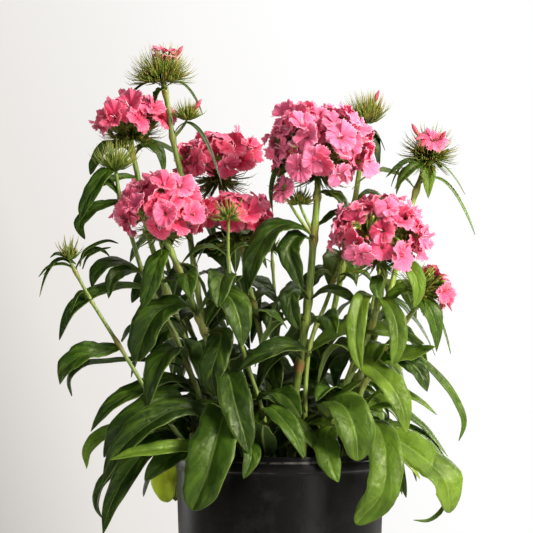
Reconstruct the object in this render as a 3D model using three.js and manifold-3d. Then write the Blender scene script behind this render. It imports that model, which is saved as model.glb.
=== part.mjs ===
// A sweet william (Dianthus barbatus) in flower, growing in a black nursery pot.
// Millimetres, +Z up. The origin is the centre of the pot's underside, and -Y is the front.
// Every leafy stem, basal shoot and flower head is its own solid: stems and shoots stand in
// plain holes in the soil, and each head of florets sits on the green cup of its stem.
import * as THREE from "three";
import { ConvexHull } from "three/addons/math/ConvexHull.js";
import { mergeVertices } from "three/addons/utils/BufferGeometryUtils.js";
import Module from "manifold-3d";

const wasm = await Module();
wasm.setup();
const { Manifold } = wasm;

// ---------------------------------------------------------------- driving dimensions
const GAP = 0.3; // air left between two solids that touch on the real plant
const CLEARANCE = 0.5; // how much fatter a leaf is made while it looks for a free place

const pot = {
  height: 165,
  rimRadius: 82.5,
  rimBand: 13, // height of the stiffening band round the rim
  bandSlope: 1, // height of the slope under the band
  lipHeight: 4.5, // the narrower lip on top of the band
  lipInset: 0.7,
  lipSlope: 0.6, // height of the slope between band and lip
  lipRound: 0.8,
  lipWidth: 2.4,
  shoulderRadius: 81, // outside of the wall just below the band
  baseRadius: 74,
  wall: 1.8,
  floor: 2.2,
  foot: 1.2, // chamfer between the underside and the wall
  sides: 28,
  drainHoles: 6,
  drainRadius: 6,
  drainCircle: 50,
};

const soil = {
  surface: 152,
  bevel: 3, // how far the soil's edge rounds down at the wall
  crown: 3, // how much higher the soil is at its middle
  bumps: 0.55,
  waves: [0.21, 0.17, 0.11, 0.26], // radians a millimetre, along and across, twice
  rings: [76.5, 40],
  holeDepth: 20,
  holeSlack: 0.1, // besides the gap round a stem
};

const STEM_START = 157; // above this height a stem is free to lean
const STEM_FOOT = soil.surface - soil.holeDepth + GAP;
const STEM_SIDES = 5;
const STEM_STEP = 52; // length of stem between two rings

const branchShape = {
  radius: 1.3,
  sides: 5,
  bendOut: 0.6, // where a side branch bends up, as shares of its way out and up
  bendUp: 0.45,
};

const headShape = {
  seat: 0.6, // how far below its middle the pink core is cut flat, as a share of its height
  cupRise: 0.35, // how much of the cup's radius stands above its middle
  coreRim: 0.8, // radii of the two flat faces that meet, as shares of the core's and the cup's
  coreRimSides: 8,
  cupRim: 0.92,
  cupRimSides: 7,
  bearings: 0.12, // unevenness of the spiral, in radians
};

const bractShape = {
  radius: 1.2, // at its foot
  share: 0.22, // of the cup's radius, the most that the foot may have
  seatRoom: 1.2, // of its foot's radius, left free below the cup's flat face
  scatter: 0.15,
  unevenness: 0.12,
};

const leafShape = {
  broad: 19.5, // leaves at least this wide are drawn with the most stations
  broadStations: [0, 0.2, 0.5, 0.84],
  stations: [0, 0.3, 0.78],
  narrow: 12, // leaves narrower than this are three-sided
  narrowStations: [0, 0.34, 0.78],
  root: 1, // half the width of the root, inside the stem
  fold: 0.2, // how far each half rises from the midrib, as a share of its width
  ribAbove: 0.15,
  ribBelow: 1.25,
  outward: 0.42, // how soon the arch swings outwards
  rollAtRoot: 0.4, // how much of its roll a leaf has at its root, and gains along its length
  rollGain: 1.2,
};

// From the foot of a stem to its top, the opposite leaves of a pair get shorter and narrower.
const pairShape = {
  reach: [58, 36],
  width: [22, 13],
  drop: -0.4, // as shares of the reach
  rise: 0.6,
};

const leafLifts = [0, 8, -6];
const leafTurns = [0, 7, -7, 14, -14, 22, -22];

const floretShape = {
  petals: 5,
  notch: 0.66, // radius between two petals, as a share of the floret's
  corner: 0.3, // half the angle of a petal's outer edge, as a share of its sector
  dish: 1.6, // how deep the throat lies
  neck: 2.4, // radius of the tube under the petals
  neckShare: 0.2, // of the core's radius, the most that the neck may have
  neckDepth: 2,
  layer: 3, // height between two of the three layers in which florets overlap
  tilt: 0.06,
  footSpread: 0.85, // how far round the core the necks reach, as a share of the florets' spread
  air: 0.2, // between two florets of one layer
};

// A leaf is [height on the stem, bearing, reach, drop, rise, width, roll, sweep].
// Bearing is in degrees from +X (the right) towards +Y (the back); reach is the level
// distance to the tip, drop the tip's height above the root (so it is mostly negative),
// rise the height of the arch's control point, and roll turns the upper face to the front.
// sweep bends the tip sideways, to the left seen from the stem, and may be left out.
// A pair is [height, bearing]: two opposite leaves whose size follows from the height.
const stems = [
  {
    name: "stem_crown_head",
    foot: [9, -12],
    radius: [4.6, 3.0],
    path: [
      [10, -14, 194],
      [15, -18, 232],
      [22, -22, 284],
      [26, -26, 331],
      [29, -29, 366],
    ],
    leaves: [
      [333, 192, 52, -42, 48, 20, 25],
      [331, 243, 25, -44, 22, 16, 10],
      [340, 12, 30, 18, 10, 8, 30],
      [366, 352, 30, -18, 8, 12, 30],
      [284, 2, 38, 2, 18, 9, 30],
      [286, 172, 34, -22, 26, 15, 20],
      [236, 200, 40, -26, 26, 18, 20],
      [234, 60, 44, -10, 30, 18, 0],
      [196, 95, 50, -16, 34, 22, 0],
    ],
    pairs: [],
  },
  {
    name: "stem_front_left",
    foot: [-26, -27],
    radius: [3.6, 2.6],
    path: [
      [-40, -30, 205],
      [-56, -34, 251],
      [-73, -40, 295],
      [-90, -46, 334],
    ],
    leaves: [
      [324, 222, 20, -50, 16, 15, 30],
      [310, 10, 26, -30, 10, 9, 10],
      [270, 4, 38, -24, 52, 27, 30],
      [271, 195, 46, -30, 46, 24, 35],
      [262, 292, 24, -56, 22, 19, 0],
      [226, 70, 40, -16, 26, 18, 0],
    ],
    pairs: [],
  },
  {
    name: "stem_tall_left",
    foot: [-20, 16],
    radius: [3.6, 2.4],
    path: [
      [-36, 14, 205],
      [-59, 9, 262],
      [-77, 4, 378],
      [-83, 1, 404],
      [-92, 0, 455],
    ],
    leaves: [
      [448, 232, 14, -18, 6, 9, 0],
      [450, 182, 33, -12, 14, 4.5, 10],
      [450, 358, 32, -20, 16, 4.5, 10],
      [412, 340, 44, -38, 34, 6, 20],
      [345, 60, 46, -18, 30, 12, 0],
      [300, 110, 48, -24, 30, 14, 0],
      [256, 20, 40, -10, 34, 18, 20],
      [222, 82, 52, -22, 32, 20, 0],
    ],
    pairs: [],
  },
  {
    name: "stem_upper_left",
    foot: [-36, 8],
    radius: [3.4, 2.4],
    path: [
      [-58, 10, 212],
      [-84, 11, 276],
      [-105, 11, 340],
      [-112, 10, 380],
      [-117, 9, 404],
    ],
    leaves: [
      [401, 348, 20, -26, 16, 10, 20],
      [402, 20, 44, -6, 14, 6, 30],
      [400, 185, 16, -22, 10, 8, 20],
      [290, 100, 50, -26, 30, 15, 0],
    ],
    pairs: [[240, 110]],
  },
  {
    name: "stem_left_bud",
    foot: [-46, -10],
    radius: [3.0, 1.7],
    path: [
      [-62, -12, 205],
      [-83, -14, 258],
      [-107, -16, 305],
      [-115, -16, 330],
      [-125, -15, 363],
      [-129, -15, 388],
    ],
    leaves: [
      [362, 196, 36, -12, 40, 13, 40],
      [364, 168, 24, 2, 22, 9, 30],
      [361, 190, 32, -32, 16, 11, 40],
      [305, 182, 66, -46, 22, 13, 45],
      [306, 205, 42, -16, 20, 11, 35],
      [258, 188, 36, -34, 30, 14, 40],
      [222, 182, 84, -40, 34, 17, 50],
    ],
    pairs: [],
  },
  {
    name: "stem_low_left",
    foot: [-60, -24],
    radius: [2.4, 1.4],
    path: [
      [-80, -31, 181],
      [-97, -36, 204],
      [-126, -40, 251],
      [-147, -42, 285],
      [-160, -43, 309],
    ],
    leaves: [
      [308, 184, 30, -20, 22, 5, 35],
      [306, 170, 26, -2, 14, 4, 20],
      [307, 12, 30, 12, 26, 5, 30],
      [286, 190, 16, -12, 14, 4.5, 20],
      [252, 184, 46, -26, 24, 15, 55],
      [250, 200, 38, -38, 16, 8, 30],
      [251, 20, 26, 6, 20, 9, 20],
    ],
    pairs: [],
  },
  {
    name: "stem_back_left",
    foot: [-10, 34],
    radius: [3.4, 2.4],
    path: [
      [-22, 37, 205],
      [-33, 40, 259],
      [-44, 44, 331],
      [-47, 45, 379],
    ],
    leaves: [
      [374, 190, 20, -22, 10, 9, 10],
      [330, 80, 50, -24, 30, 13, 0],
      [331, 345, 36, -22, 26, 12, 20],
    ],
    pairs: [[280, 120]],
  },
  {
    name: "stem_middle",
    foot: [-4, 2],
    radius: [3.2, 2.2],
    path: [
      [-8, 1, 205],
      [-16, -1, 260],
      [-27, -4, 307],
      [-32, -6, 335],
    ],
    leaves: [
      [326, 185, 40, -12, 22, 10, 35],
      [326, 10, 30, -6, 18, 10, 35],
      [282, 200, 44, -20, 26, 15, 30],
      [282, 20, 40, -26, 24, 15, 20],
    ],
    pairs: [],
  },
  {
    name: "stem_front_bud",
    foot: [-4, -32],
    radius: [2.4, 1.1],
    path: [
      [-16, -37, 205],
      [-30, -43, 250],
      [-37, -48, 284],
      [-40, -50, 317],
      [-40, -52, 341],
    ],
    leaves: [
      [317, 184, 38, -4, 20, 6, 30],
      [317, 8, 28, 4, 18, 6, 30],
      [240, 280, 30, -62, 30, 21, 0],
    ],
    pairs: [],
  },
  {
    name: "stem_back_right",
    foot: [20, 22],
    radius: [3.4, 2.2],
    path: [
      [30, 29, 220],
      [40, 36, 262],
      [56, 43, 339],
      [66, 45, 403],
      [68, 45, 421],
    ],
    leaves: [
      [415, 350, 18, -12, 12, 6, 20],
      [414, 335, 14, -26, 14, 9, 20],
      [360, 0, 40, -20, 26, 10, 20],
      [238, 202, 72, -8, 28, 20, 40],
    ],
    pairs: [
      [312, 75],
      [256, 30],
    ],
  },
  {
    name: "stem_right_bud",
    foot: [42, 12],
    radius: [3.4, 2.2],
    path: [
      [60, 8, 216],
      [85, 10, 284],
      [101, 12, 347],
      [108, 12, 371],
      [116, 11, 393],
    ],
    leaves: [
      [388, 205, 28, -20, 8, 10, 20],
      [388, 290, 10, -24, 6, 10, 10],
      [389, 178, 30, -14, 14, 5, 20],
      [389, 358, 32, -22, 12, 4.5, 10],
      [372, 358, 48, -36, 28, 5.5, 20],
      [370, 184, 52, 2, 30, 8, 30],
      [288, 60, 50, -20, 30, 15, 0],
      [220, 356, 62, 28, 10, 19, 50],
    ],
    pairs: [[250, 15]],
  },
  {
    name: "stem_front_right",
    foot: [32, -20],
    radius: [3.6, 2.6],
    path: [
      [51, -26, 218],
      [66, -31, 251],
      [78, -35, 290],
      [80, -38, 312],
    ],
    leaves: [
      [304, 250, 20, -32, 12, 13, 10],
      [304, 330, 26, -26, 16, 13, 20],
      [286, 228, 26, -58, 18, 17, 0],
      [284, 325, 22, -46, 22, 16, 25],
      [234, 335, 42, -54, 22, 17, 25],
      [239, 150, 40, -20, 26, 16, 20],
    ],
    pairs: [],
  },
  {
    name: "stem_low_right",
    foot: [50, -14],
    radius: [2.8, 1.9],
    path: [
      [64, -18, 214],
      [78, -22, 240],
      [98, -27, 268],
      [112, -30, 288],
    ],
    leaves: [
      [286, 178, 32, -4, 14, 10, 30],
      [284, 330, 20, -44, 20, 15, 20],
      [268, 350, 36, -28, 20, 9, 30],
      [248, 352, 64, -74, 52, 11, 25],
      [246, 228, 28, -30, 14, 14, 20],
      [222, 8, 56, -26, 20, 9, 30],
    ],
    pairs: [],
  },
  {
    name: "stem_right_cluster",
    foot: [18, -34],
    radius: [2.4, 1.5],
    path: [
      [23, -32, 248],
      [36, -22, 282],
      [44, -12, 304],
      [47, -8, 312],
    ],
    leaves: [
      [300, 340, 20, -10, 8, 5, 20],
      [300, 160, 20, 2, 12, 5, 20],
      [248, 195, 30, -22, 26, 13, 20],
      [246, 15, 34, 10, 12, 10, 20],
      [204, 250, 34, -14, 22, 15, 0],
    ],
    pairs: [],
  },
  {
    name: "stem_far_right",
    foot: [36, 36],
    radius: [3.2, 2.2],
    path: [
      [56, 46, 220],
      [74, 58, 275],
      [84, 65, 322],
    ],
    leaves: [
      [316, 30, 30, -14, 16, 9, 0],
      [275, 0, 52, -36, 26, 13, 20],
      [274, 150, 44, -24, 24, 15, 0],
    ],
    pairs: [[232, 70]],
  },
  {
    name: "stem_far_left",
    foot: [-30, 36],
    radius: [3.2, 2.2],
    path: [
      [-54, 44, 220],
      [-80, 50, 280],
      [-96, 53, 337],
    ],
    leaves: [
      [328, 150, 32, -14, 16, 9, 0],
      [280, 185, 54, -36, 26, 13, 10],
      [279, 90, 46, -24, 24, 15, 0],
    ],
    pairs: [[232, 120]],
  },
  {
    name: "stem_far_middle",
    foot: [4, 50],
    radius: [2.6, 1.2],
    path: [
      [2, 58, 212],
      [-2, 68, 262],
      [-6, 72, 318],
    ],
    leaves: [
      [312, 200, 24, -8, 12, 5, 10],
      [272, 60, 44, -26, 26, 13, 0],
      [272, 230, 34, -22, 22, 13, 0],
    ],
    pairs: [],
  },
  // Short basal shoots, whose broad leaves spread over the rim.
  {
    name: "shoot_front_left",
    foot: [-36, -48],
    radius: [3.4, 3.0],
    path: [[-40, -51, 186]],
    leaves: [
      [182, 237, 54, -58, 46, 36, 0],
      [180, 186, 88, -16, 14, 17, 60],
      [176, 284, 34, -28, 34, 13, 0],
      [173, 196, 84, -36, 36, 24, 40],
    ],
    pairs: [],
  },
  {
    name: "shoot_front",
    foot: [-10, -52],
    radius: [3.0, 2.6],
    path: [[-11, -54, 190]],
    leaves: [
      [187, 322, 40, -16, 28, 20, 20],
      [176, 20, 34, 10, 14, 15, 0],
    ],
    pairs: [],
  },
  {
    name: "shoot_front_right",
    foot: [40, -44],
    radius: [3.4, 3.0],
    path: [[42, -46, 192]],
    leaves: [
      [189, 296, 40, -32, 44, 31, 0],
      [174, 262, 42, -28, 36, 15, 0],
      [176, 120, 34, 12, 14, 16, 0],
    ],
    pairs: [],
  },
  {
    name: "shoot_right",
    foot: [64, -26],
    radius: [3.2, 2.8],
    path: [[67, -28, 188]],
    leaves: [
      [184, 288, 66, -70, 50, 29, 10, -14],
      [178, 350, 76, -48, 38, 20, 35, -10],
      [184, 8, 62, -22, 36, 9, 30],
      [172, 330, 66, -58, 30, 11, 20],
      [172, 308, 54, -40, 34, 13, 0],
    ],
    pairs: [],
  },
  {
    name: "shoot_left",
    foot: [-66, 4],
    radius: [3.2, 2.8],
    path: [[-69, 4, 188]],
    leaves: [
      [185, 186, 74, -44, 46, 27, 50],
      [180, 204, 68, -80, 40, 19, 20],
      [176, 170, 86, -34, 36, 18, 30],
      [184, 140, 56, -26, 36, 22, 0],
      [172, 222, 44, -50, 28, 17, 0],
    ],
    pairs: [],
  },
  {
    name: "shoot_back_left",
    foot: [-48, 46],
    radius: [3.2, 2.8],
    path: [[-51, 50, 186]],
    leaves: [
      [182, 130, 62, -60, 46, 28, 0],
      [178, 95, 58, -56, 40, 26, 0],
      [174, 168, 64, -48, 36, 22, 0],
    ],
    pairs: [],
  },
  {
    name: "shoot_back",
    foot: [2, 68],
    radius: [3.2, 2.8],
    path: [[2, 71, 184]],
    leaves: [
      [180, 110, 56, -62, 44, 28, 0],
      [177, 65, 58, -56, 40, 26, 0],
      [174, 170, 46, -6, 24, 18, 0],
    ],
    pairs: [],
  },
  {
    name: "shoot_back_right",
    foot: [50, 50],
    radius: [3.2, 2.8],
    path: [[53, 53, 186]],
    leaves: [
      [182, 45, 60, -62, 46, 28, 0],
      [178, 12, 62, -40, 40, 24, 0],
      [174, 80, 54, -56, 34, 24, 0],
    ],
    pairs: [],
  },
];

// The flower heads. Each is a dome of florets round a pink core, which sits flat on the green
// cup of its stem; bristly green bracts stand out of the cup. A head with a branch height
// grows on a side branch that leaves its stem there.
//   at: centre of the dome          radius, squash: the dome's radius and height over radius
//   lean: how far its top leans     florets, round: how many, and how far from the top (degrees)
//   size: a floret's radius         core, cup: radii of the pink core and the green cup
//   bracts: how many, their tips' distance from the cup's centre, and from and to which angle
const heads = [
  {
    name: "bloom_crown",
    stem: "stem_crown_head",
    at: [32, -30, 402],
    radius: 39,
    squash: 0.9,
    lean: [0, -0.1],
    florets: 22,
    round: 120,
    size: 16,
    core: 28,
    cup: 13,
    bracts: [7, 30, 105, 150],
  },
  {
    name: "bloom_front_left",
    stem: "stem_front_left",
    at: [-93, -46, 354],
    radius: 31,
    squash: 0.82,
    lean: [0, -0.2],
    florets: 14,
    round: 104,
    size: 15,
    core: 21,
    cup: 12,
    bracts: [7, 26, 95, 140],
  },
  {
    name: "bloom_front_right",
    stem: "stem_front_right",
    at: [80, -38, 335],
    radius: 34,
    squash: 0.8,
    lean: [0.08, -0.15],
    florets: 15,
    round: 106,
    size: 16,
    core: 23,
    cup: 13,
    bracts: [7, 28, 95, 140],
  },
  {
    name: "bloom_back_left",
    stem: "stem_back_left",
    at: [-48, 45, 399],
    radius: 27,
    squash: 0.72,
    lean: [0, 0],
    florets: 11,
    round: 90,
    size: 14,
    core: 18,
    cup: 13,
    bracts: [11, 30, 80, 140],
  },
  {
    name: "bloom_middle",
    stem: "stem_middle",
    at: [-33, -7, 351],
    radius: 25,
    squash: 0.76,
    lean: [0, 0],
    florets: 9,
    round: 92,
    size: 13.5,
    core: 16.5,
    cup: 11,
    bracts: [8, 25, 85, 140],
  },
  {
    name: "bloom_upper_left",
    stem: "stem_upper_left",
    at: [-115, 8, 423],
    radius: 24,
    squash: 0.75,
    lean: [-0.1, -0.15],
    florets: 8,
    round: 70,
    size: 13,
    core: 13,
    cup: 12,
    bracts: [16, 27, 68, 135],
  },
  {
    name: "bloom_far_right",
    stem: "stem_far_right",
    at: [86, 67, 342],
    radius: 26,
    squash: 0.78,
    lean: [0.1, 0.2],
    florets: 8,
    round: 92,
    size: 14,
    core: 17,
    cup: 11,
    bracts: [7, 25, 85, 140],
  },
  {
    name: "bloom_far_left",
    stem: "stem_far_left",
    at: [-98, 54, 358],
    radius: 27,
    squash: 0.78,
    lean: [-0.1, 0.2],
    florets: 8,
    round: 94,
    size: 14,
    core: 18,
    cup: 11,
    bracts: [7, 25, 85, 140],
  },
  {
    name: "bloom_low_right",
    stem: "stem_low_right",
    at: [121, -32, 296],
    radius: 14,
    squash: 0.9,
    lean: [1.4, -0.3],
    florets: 5,
    round: 62,
    size: 11,
    core: 8,
    cup: 8,
    bracts: [12, 20, 60, 130],
  },
  {
    name: "bloom_right_bud",
    stem: "stem_right_bud",
    at: [119, 10, 402],
    radius: 17,
    squash: 0.9,
    lean: [0.25, -0.3],
    florets: 4,
    round: 55,
    size: 11.5,
    core: 7.5,
    cup: 9,
    bracts: [22, 24, 45, 130],
  },
  {
    name: "bloom_tall_left",
    stem: "stem_tall_left",
    at: [-94, 0, 469],
    radius: 12,
    squash: 0.9,
    lean: [0, 0],
    florets: 3,
    round: 62,
    size: 9.5,
    core: 6.5,
    cup: 10,
    bracts: [25, 26, 40, 135],
  },
  {
    name: "bloom_side_floret",
    stem: "stem_crown_head",
    branch: 333,
    at: [4, -36, 366],
    radius: 7,
    squash: 0.9,
    lean: [-0.5, -0.4],
    florets: 1,
    round: 0,
    size: 9.5,
    core: 3.4,
    cup: 3.6,
    bracts: [9, 11, 50, 130],
  },
];

// Bud clusters with no open floret are all cup and bracts:
// [stem, branch height or null, centre, cup radius, how many bracts, their tips' distance].
const budClusters = [
  ["stem_left_bud", null, [-130, -15, 398], 5.5, 18, 18],
  ["stem_low_left", null, [-163, -43, 315], 2.8, 8, 13],
  ["stem_front_bud", null, [-40, -52, 348], 3.2, 13, 12],
  ["stem_back_right", null, [69, 45, 434], 8, 26, 24],
  ["stem_right_cluster", null, [50, -5, 318], 4.5, 15, 13],
  ["stem_far_middle", null, [-6, 73, 325], 3.2, 10, 13],
  ["stem_tall_left", 411, [-73, -3, 429], 4, 12, 13],
  ["stem_crown_head", 336, [15, -32, 365], 3.4, 10, 11],
].map(([stem, branch, at, cup, count, reach]) => ({
  name: null,
  stem,
  branch,
  at,
  radius: 0,
  squash: 1,
  lean: [0, 0],
  florets: 0,
  core: 0,
  cup,
  bracts: [count, reach, 12, 150],
}));

// ---------------------------------------------------------------- colours
const finish = {
  pot: { color: 0x1b1c1e, roughness: 0.42 },
  soil: { color: 0x43342a, roughness: 0.95 },
  leafyStem: { color: 0x4f8a3c, roughness: 0.55 },
  shoot: { color: 0x3c7332, roughness: 0.5 },
  bloom: { color: 0xe8647e, roughness: 0.6 },
};

// ---------------------------------------------------------------- small helpers
const UP = new THREE.Vector3(0, 0, 1);
const GOLDEN_ANGLE = Math.PI * (3 - Math.sqrt(5));
const vec = (x, y, z) => new THREE.Vector3(x, y, z);
const rad = THREE.MathUtils.degToRad;

// Even draws between -1 and 1 from a seed.
function wobbleFrom(seed) {
  let state = seed;
  return () => {
    state = (state * 16807) % 2147483647;
    return (state / 2147483647) * 2 - 1;
  };
}

function asSolid(positions, index) {
  const geometry = new THREE.BufferGeometry();
  geometry.setAttribute("position", new THREE.Float32BufferAttribute(positions, 3));
  geometry.setIndex(index);
  return solidOf(geometry);
}

// A closed three.js geometry as a solid, with its faces turned outwards.
function solidOf(geometry) {
  const bare = geometry.clone();
  bare.deleteAttribute("normal");
  bare.deleteAttribute("uv");
  const merged = mergeVertices(bare, 1e-4);
  const vertProperties = new Float32Array(merged.getAttribute("position").array);
  const corners = Array.from(merged.index.array);
  const kept = [];
  for (let i = 0; i < corners.length; i += 3) {
    const [a, b, c] = corners.slice(i, i + 3);
    if (a !== b && b !== c && c !== a) kept.push([a, b, c]);
  }
  const build = (faces) => {
    const triVerts = new Uint32Array(faces.flat());
    return new Manifold(new wasm.Mesh({ numProp: 3, vertProperties, triVerts }));
  };
  const solid = build(kept);
  return solid.volume() > 0 ? solid : build(kept.map(([a, b, c]) => [a, c, b]));
}

// One closed skin over a row of rings with equal point counts. A last ring of one point is a
// tip. Every second diagonal leans the other way, so both faces of a blade are split alike.
function loft(rings) {
  const points = rings.flat();
  const index = [];
  const count = rings[0].length;
  for (let r = 0; r + 1 < rings.length; r++) {
    const a = r * count;
    const b = a + count;
    for (let i = 0; i < count; i++) {
      const j = (i + 1) % count;
      if (rings[r + 1].length === 1) index.push(a + i, a + j, b);
      else if (i % 2) index.push(a + i, a + j, b + i, a + j, b + j, b + i);
      else index.push(a + i, a + j, b + j, a + i, b + j, b + i);
    }
  }
  const last = (rings.length - 1) * count;
  for (let i = 1; i + 1 < count; i++) {
    index.push(0, i + 1, i);
    if (rings[rings.length - 1].length > 1) index.push(last, last + i, last + i + 1);
  }
  const positions = points.flatMap((p) => [p.x, p.y, p.z]);
  return asSolid(positions, index);
}

function ringAround(centre, direction, radius, sides) {
  const side = vec(1, 0, 0).cross(direction).normalize();
  const other = side.clone().cross(direction).normalize();
  return Array.from({ length: sides }, (_, i) => {
    const angle = (i / sides) * 2 * Math.PI;
    return centre
      .clone()
      .addScaledVector(side, radius * Math.cos(angle))
      .addScaledVector(other, radius * Math.sin(angle));
  });
}

// Joins solids into one body: a hollow that the joining seals is filled, a loose scrap dropped.
function fused(solids) {
  const bodies = Manifold.union(solids).decompose();
  return bodies.reduce((a, b) => (b.volume() > a.volume() ? b : a));
}

function meshOf(name, solid, look) {
  const { numProp, numVert, vertProperties, triVerts } = solid.getMesh();
  const positions = new Float32Array(numVert * 3);
  for (let i = 0; i < numVert; i++) {
    positions.set(vertProperties.subarray(i * numProp, i * numProp + 3), i * 3);
  }
  const geometry = new THREE.BufferGeometry();
  geometry.setAttribute("position", new THREE.BufferAttribute(positions, 3));
  geometry.setIndex(new THREE.BufferAttribute(new Uint32Array(triVerts), 1));
  geometry.computeVertexNormals();
  const material = new THREE.MeshStandardMaterial({ ...look, metalness: 0 });
  const mesh = new THREE.Mesh(geometry, material);
  mesh.name = name;
  return mesh;
}

// ---------------------------------------------------------------- what stands where
// Every solid that a later leaf, floret or bract has to stay clear of.
const placed = [];

function place(node, solid) {
  placed.push({ node, solid, box: solid.boundingBox() });
  return solid;
}

function boxesMeet(a, b) {
  return [0, 1, 2].every((axis) => a.min[axis] < b.max[axis] && b.min[axis] < a.max[axis]);
}

// Whether a solid clears all that is placed, apart from the nodes it may touch.
function isFree(solid, ownNodes) {
  const box = solid.boundingBox();
  return placed.every(
    (other) =>
      ownNodes.includes(other.node) ||
      !boxesMeet(box, other.box) ||
      solid.intersect(other.solid).isEmpty()
  );
}

// ---------------------------------------------------------------- pot and soil
function turned(profile) {
  const points = profile.map(([r, z]) => new THREE.Vector2(r, z));
  return new THREE.LatheGeometry(points, pot.sides).rotateX(Math.PI / 2);
}

function uprightCylinder(radius, sides, [x, y], bottom, top) {
  return solidOf(
    new THREE.CylinderGeometry(radius, radius, top - bottom, sides)
      .rotateX(Math.PI / 2)
      .translate(x, y, (bottom + top) / 2)
  );
}

// The outside radius of the tapered wall at a height.
function wallRadius(height) {
  const share = height / (pot.height - pot.rimBand);
  return pot.baseRadius + (pot.shoulderRadius - pot.baseRadius) * share;
}

function makePot() {
  const bandFoot = pot.height - pot.rimBand;
  const lipFoot = pot.height - pot.lipHeight;
  const lipRadius = pot.rimRadius - pot.lipInset;
  const body = solidOf(
    turned([
      [0, 0],
      [pot.baseRadius - pot.foot, 0],
      [pot.baseRadius, pot.foot],
      [wallRadius(bandFoot), bandFoot],
      [pot.rimRadius, bandFoot + pot.bandSlope],
      [pot.rimRadius, lipFoot - pot.lipSlope],
      [lipRadius, lipFoot],
      [lipRadius, pot.height - pot.lipRound],
      [lipRadius - pot.lipRound, pot.height],
      [lipRadius - pot.lipWidth, pot.height],
      [wallRadius(bandFoot) - pot.wall, bandFoot - pot.bandSlope],
      [wallRadius(0) - pot.wall, pot.floor],
      [0, pot.floor],
    ])
  );
  const holes = Array.from({ length: pot.drainHoles }, (_, i) => {
    const bearing = ((i + 0.5) / pot.drainHoles) * 2 * Math.PI;
    const centre = [pot.drainCircle * Math.cos(bearing), pot.drainCircle * Math.sin(bearing)];
    return uprightCylinder(pot.drainRadius, 6, centre, -pot.floor, 2 * pot.floor);
  });
  return body.subtract(Manifold.union(holes));
}

function makeSoil() {
  const floor = pot.floor + GAP;
  const edge = soil.surface - soil.bevel;
  const inside = (z) => wallRadius(z) - pot.wall - 1.5 * GAP;
  const crownAt = (r) => soil.surface + soil.crown * (1 - r / soil.rings[0]);
  const ground = turned([
    [0, floor],
    [inside(floor), floor],
    [inside(edge), edge],
    ...soil.rings.map((r) => [r, crownAt(r)]),
    [0, crownAt(0)],
  ]);
  const points = ground.getAttribute("position");
  const [a, b, c, d] = soil.waves;
  for (let i = 0; i < points.count; i++) {
    const [x, y, z] = [points.getX(i), points.getY(i), points.getZ(i)];
    const wave = Math.sin(x * a + 1) * Math.cos(y * b) + Math.sin(x * c - y * d);
    if (z > edge + GAP) points.setZ(i, z + soil.bumps * wave);
  }
  const holes = stems.map((stem) => {
    const radius = (stem.radius[0] + GAP + soil.holeSlack) / Math.cos(Math.PI / STEM_SIDES);
    const above = soil.surface + soil.holeDepth;
    return uprightCylinder(radius, STEM_SIDES, stem.foot, STEM_FOOT - GAP, above);
  });
  return solidOf(ground).subtract(Manifold.union(holes));
}

// ---------------------------------------------------------------- stems
function stemCurve(stem, top) {
  const points = [[...stem.foot, STEM_START], ...stem.path].map((p) => vec(...p));
  if (top) points.push(top);
  return new THREE.CatmullRomCurve3(points, false, "centripetal");
}

// The parameter at which a stem, which climbs all the way, reaches a height.
function heightOn(curve, height) {
  let [low, high] = [0, 1];
  for (let i = 0; i < 40; i++) {
    const middle = (low + high) / 2;
    if (curve.getPoint(middle).z < height) low = middle;
    else high = middle;
  }
  return low;
}

// A five-sided stem that stands straight in its hole, then leans and thins upwards.
function makeStem(stem, curve) {
  const [thick, thin] = stem.radius;
  const rings = [ringAround(vec(...stem.foot, STEM_FOOT), UP, thick, STEM_SIDES)];
  const steps = Math.max(1, Math.round(curve.getLength() / STEM_STEP));
  for (let i = 0; i <= steps; i++) {
    const t = i / steps;
    const radius = thick + (thin - thick) * t;
    rings.push(ringAround(curve.getPoint(t), curve.getTangent(t), radius, STEM_SIDES));
  }
  return loft(rings);
}

// A thin side branch that leaves its stem upwards and bends out to a head.
function makeBranch(start, end) {
  const { radius, sides, bendOut, bendUp } = branchShape;
  const bend = start.clone().lerp(end, bendOut);
  bend.z = THREE.MathUtils.lerp(start.z, end.z, bendUp);
  const curve = new THREE.QuadraticBezierCurve3(start, bend, end);
  const ringAt = (t) => ringAround(curve.getPoint(t), curve.getTangent(t), radius, sides);
  return loft([0, 0.5, 1].map(ringAt));
}

// ---------------------------------------------------------------- heads
// Directions spread evenly round +Z, from one angle to another from the top.
function spiral(count, from, to, wobble) {
  const [high, low] = [Math.cos(rad(from)), Math.cos(rad(to))];
  return Array.from({ length: count }, (_, i) => {
    const polar = Math.acos(high + (low - high) * ((i + 0.5) / count));
    return { polar, bearing: i * GOLDEN_ANGLE + headShape.bearings * wobble() };
  });
}

// Three uneven draws as one small vector.
const scatter = (wobble, size) => vec(wobble(), wobble(), wobble()).multiplyScalar(size);

// A point on an ellipsoid of revolution round +Z, and the way its skin faces there.
function onEllipsoid(radius, squash, polar, bearing) {
  const x = Math.sin(polar) * Math.cos(bearing);
  const y = Math.sin(polar) * Math.sin(bearing);
  const z = Math.cos(polar);
  const point = vec(x, y, z * squash).multiplyScalar(radius);
  const normal = vec(x, y, z / squash).normalize();
  return { point, normal };
}

// Points round a centre, anticlockwise seen from where the normal points.
function ringFacing(centre, normal, reaches, twist) {
  const turn = new THREE.Quaternion().setFromUnitVectors(UP, normal);
  return reaches.map(([angle, radius]) =>
    vec(Math.cos(angle + twist), Math.sin(angle + twist), 0)
      .multiplyScalar(radius)
      .applyQuaternion(turn)
      .add(centre)
  );
}

const evenRing = (count, radius) =>
  Array.from({ length: count }, (_, i) => [(i / count) * 2 * Math.PI, radius]);

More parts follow.
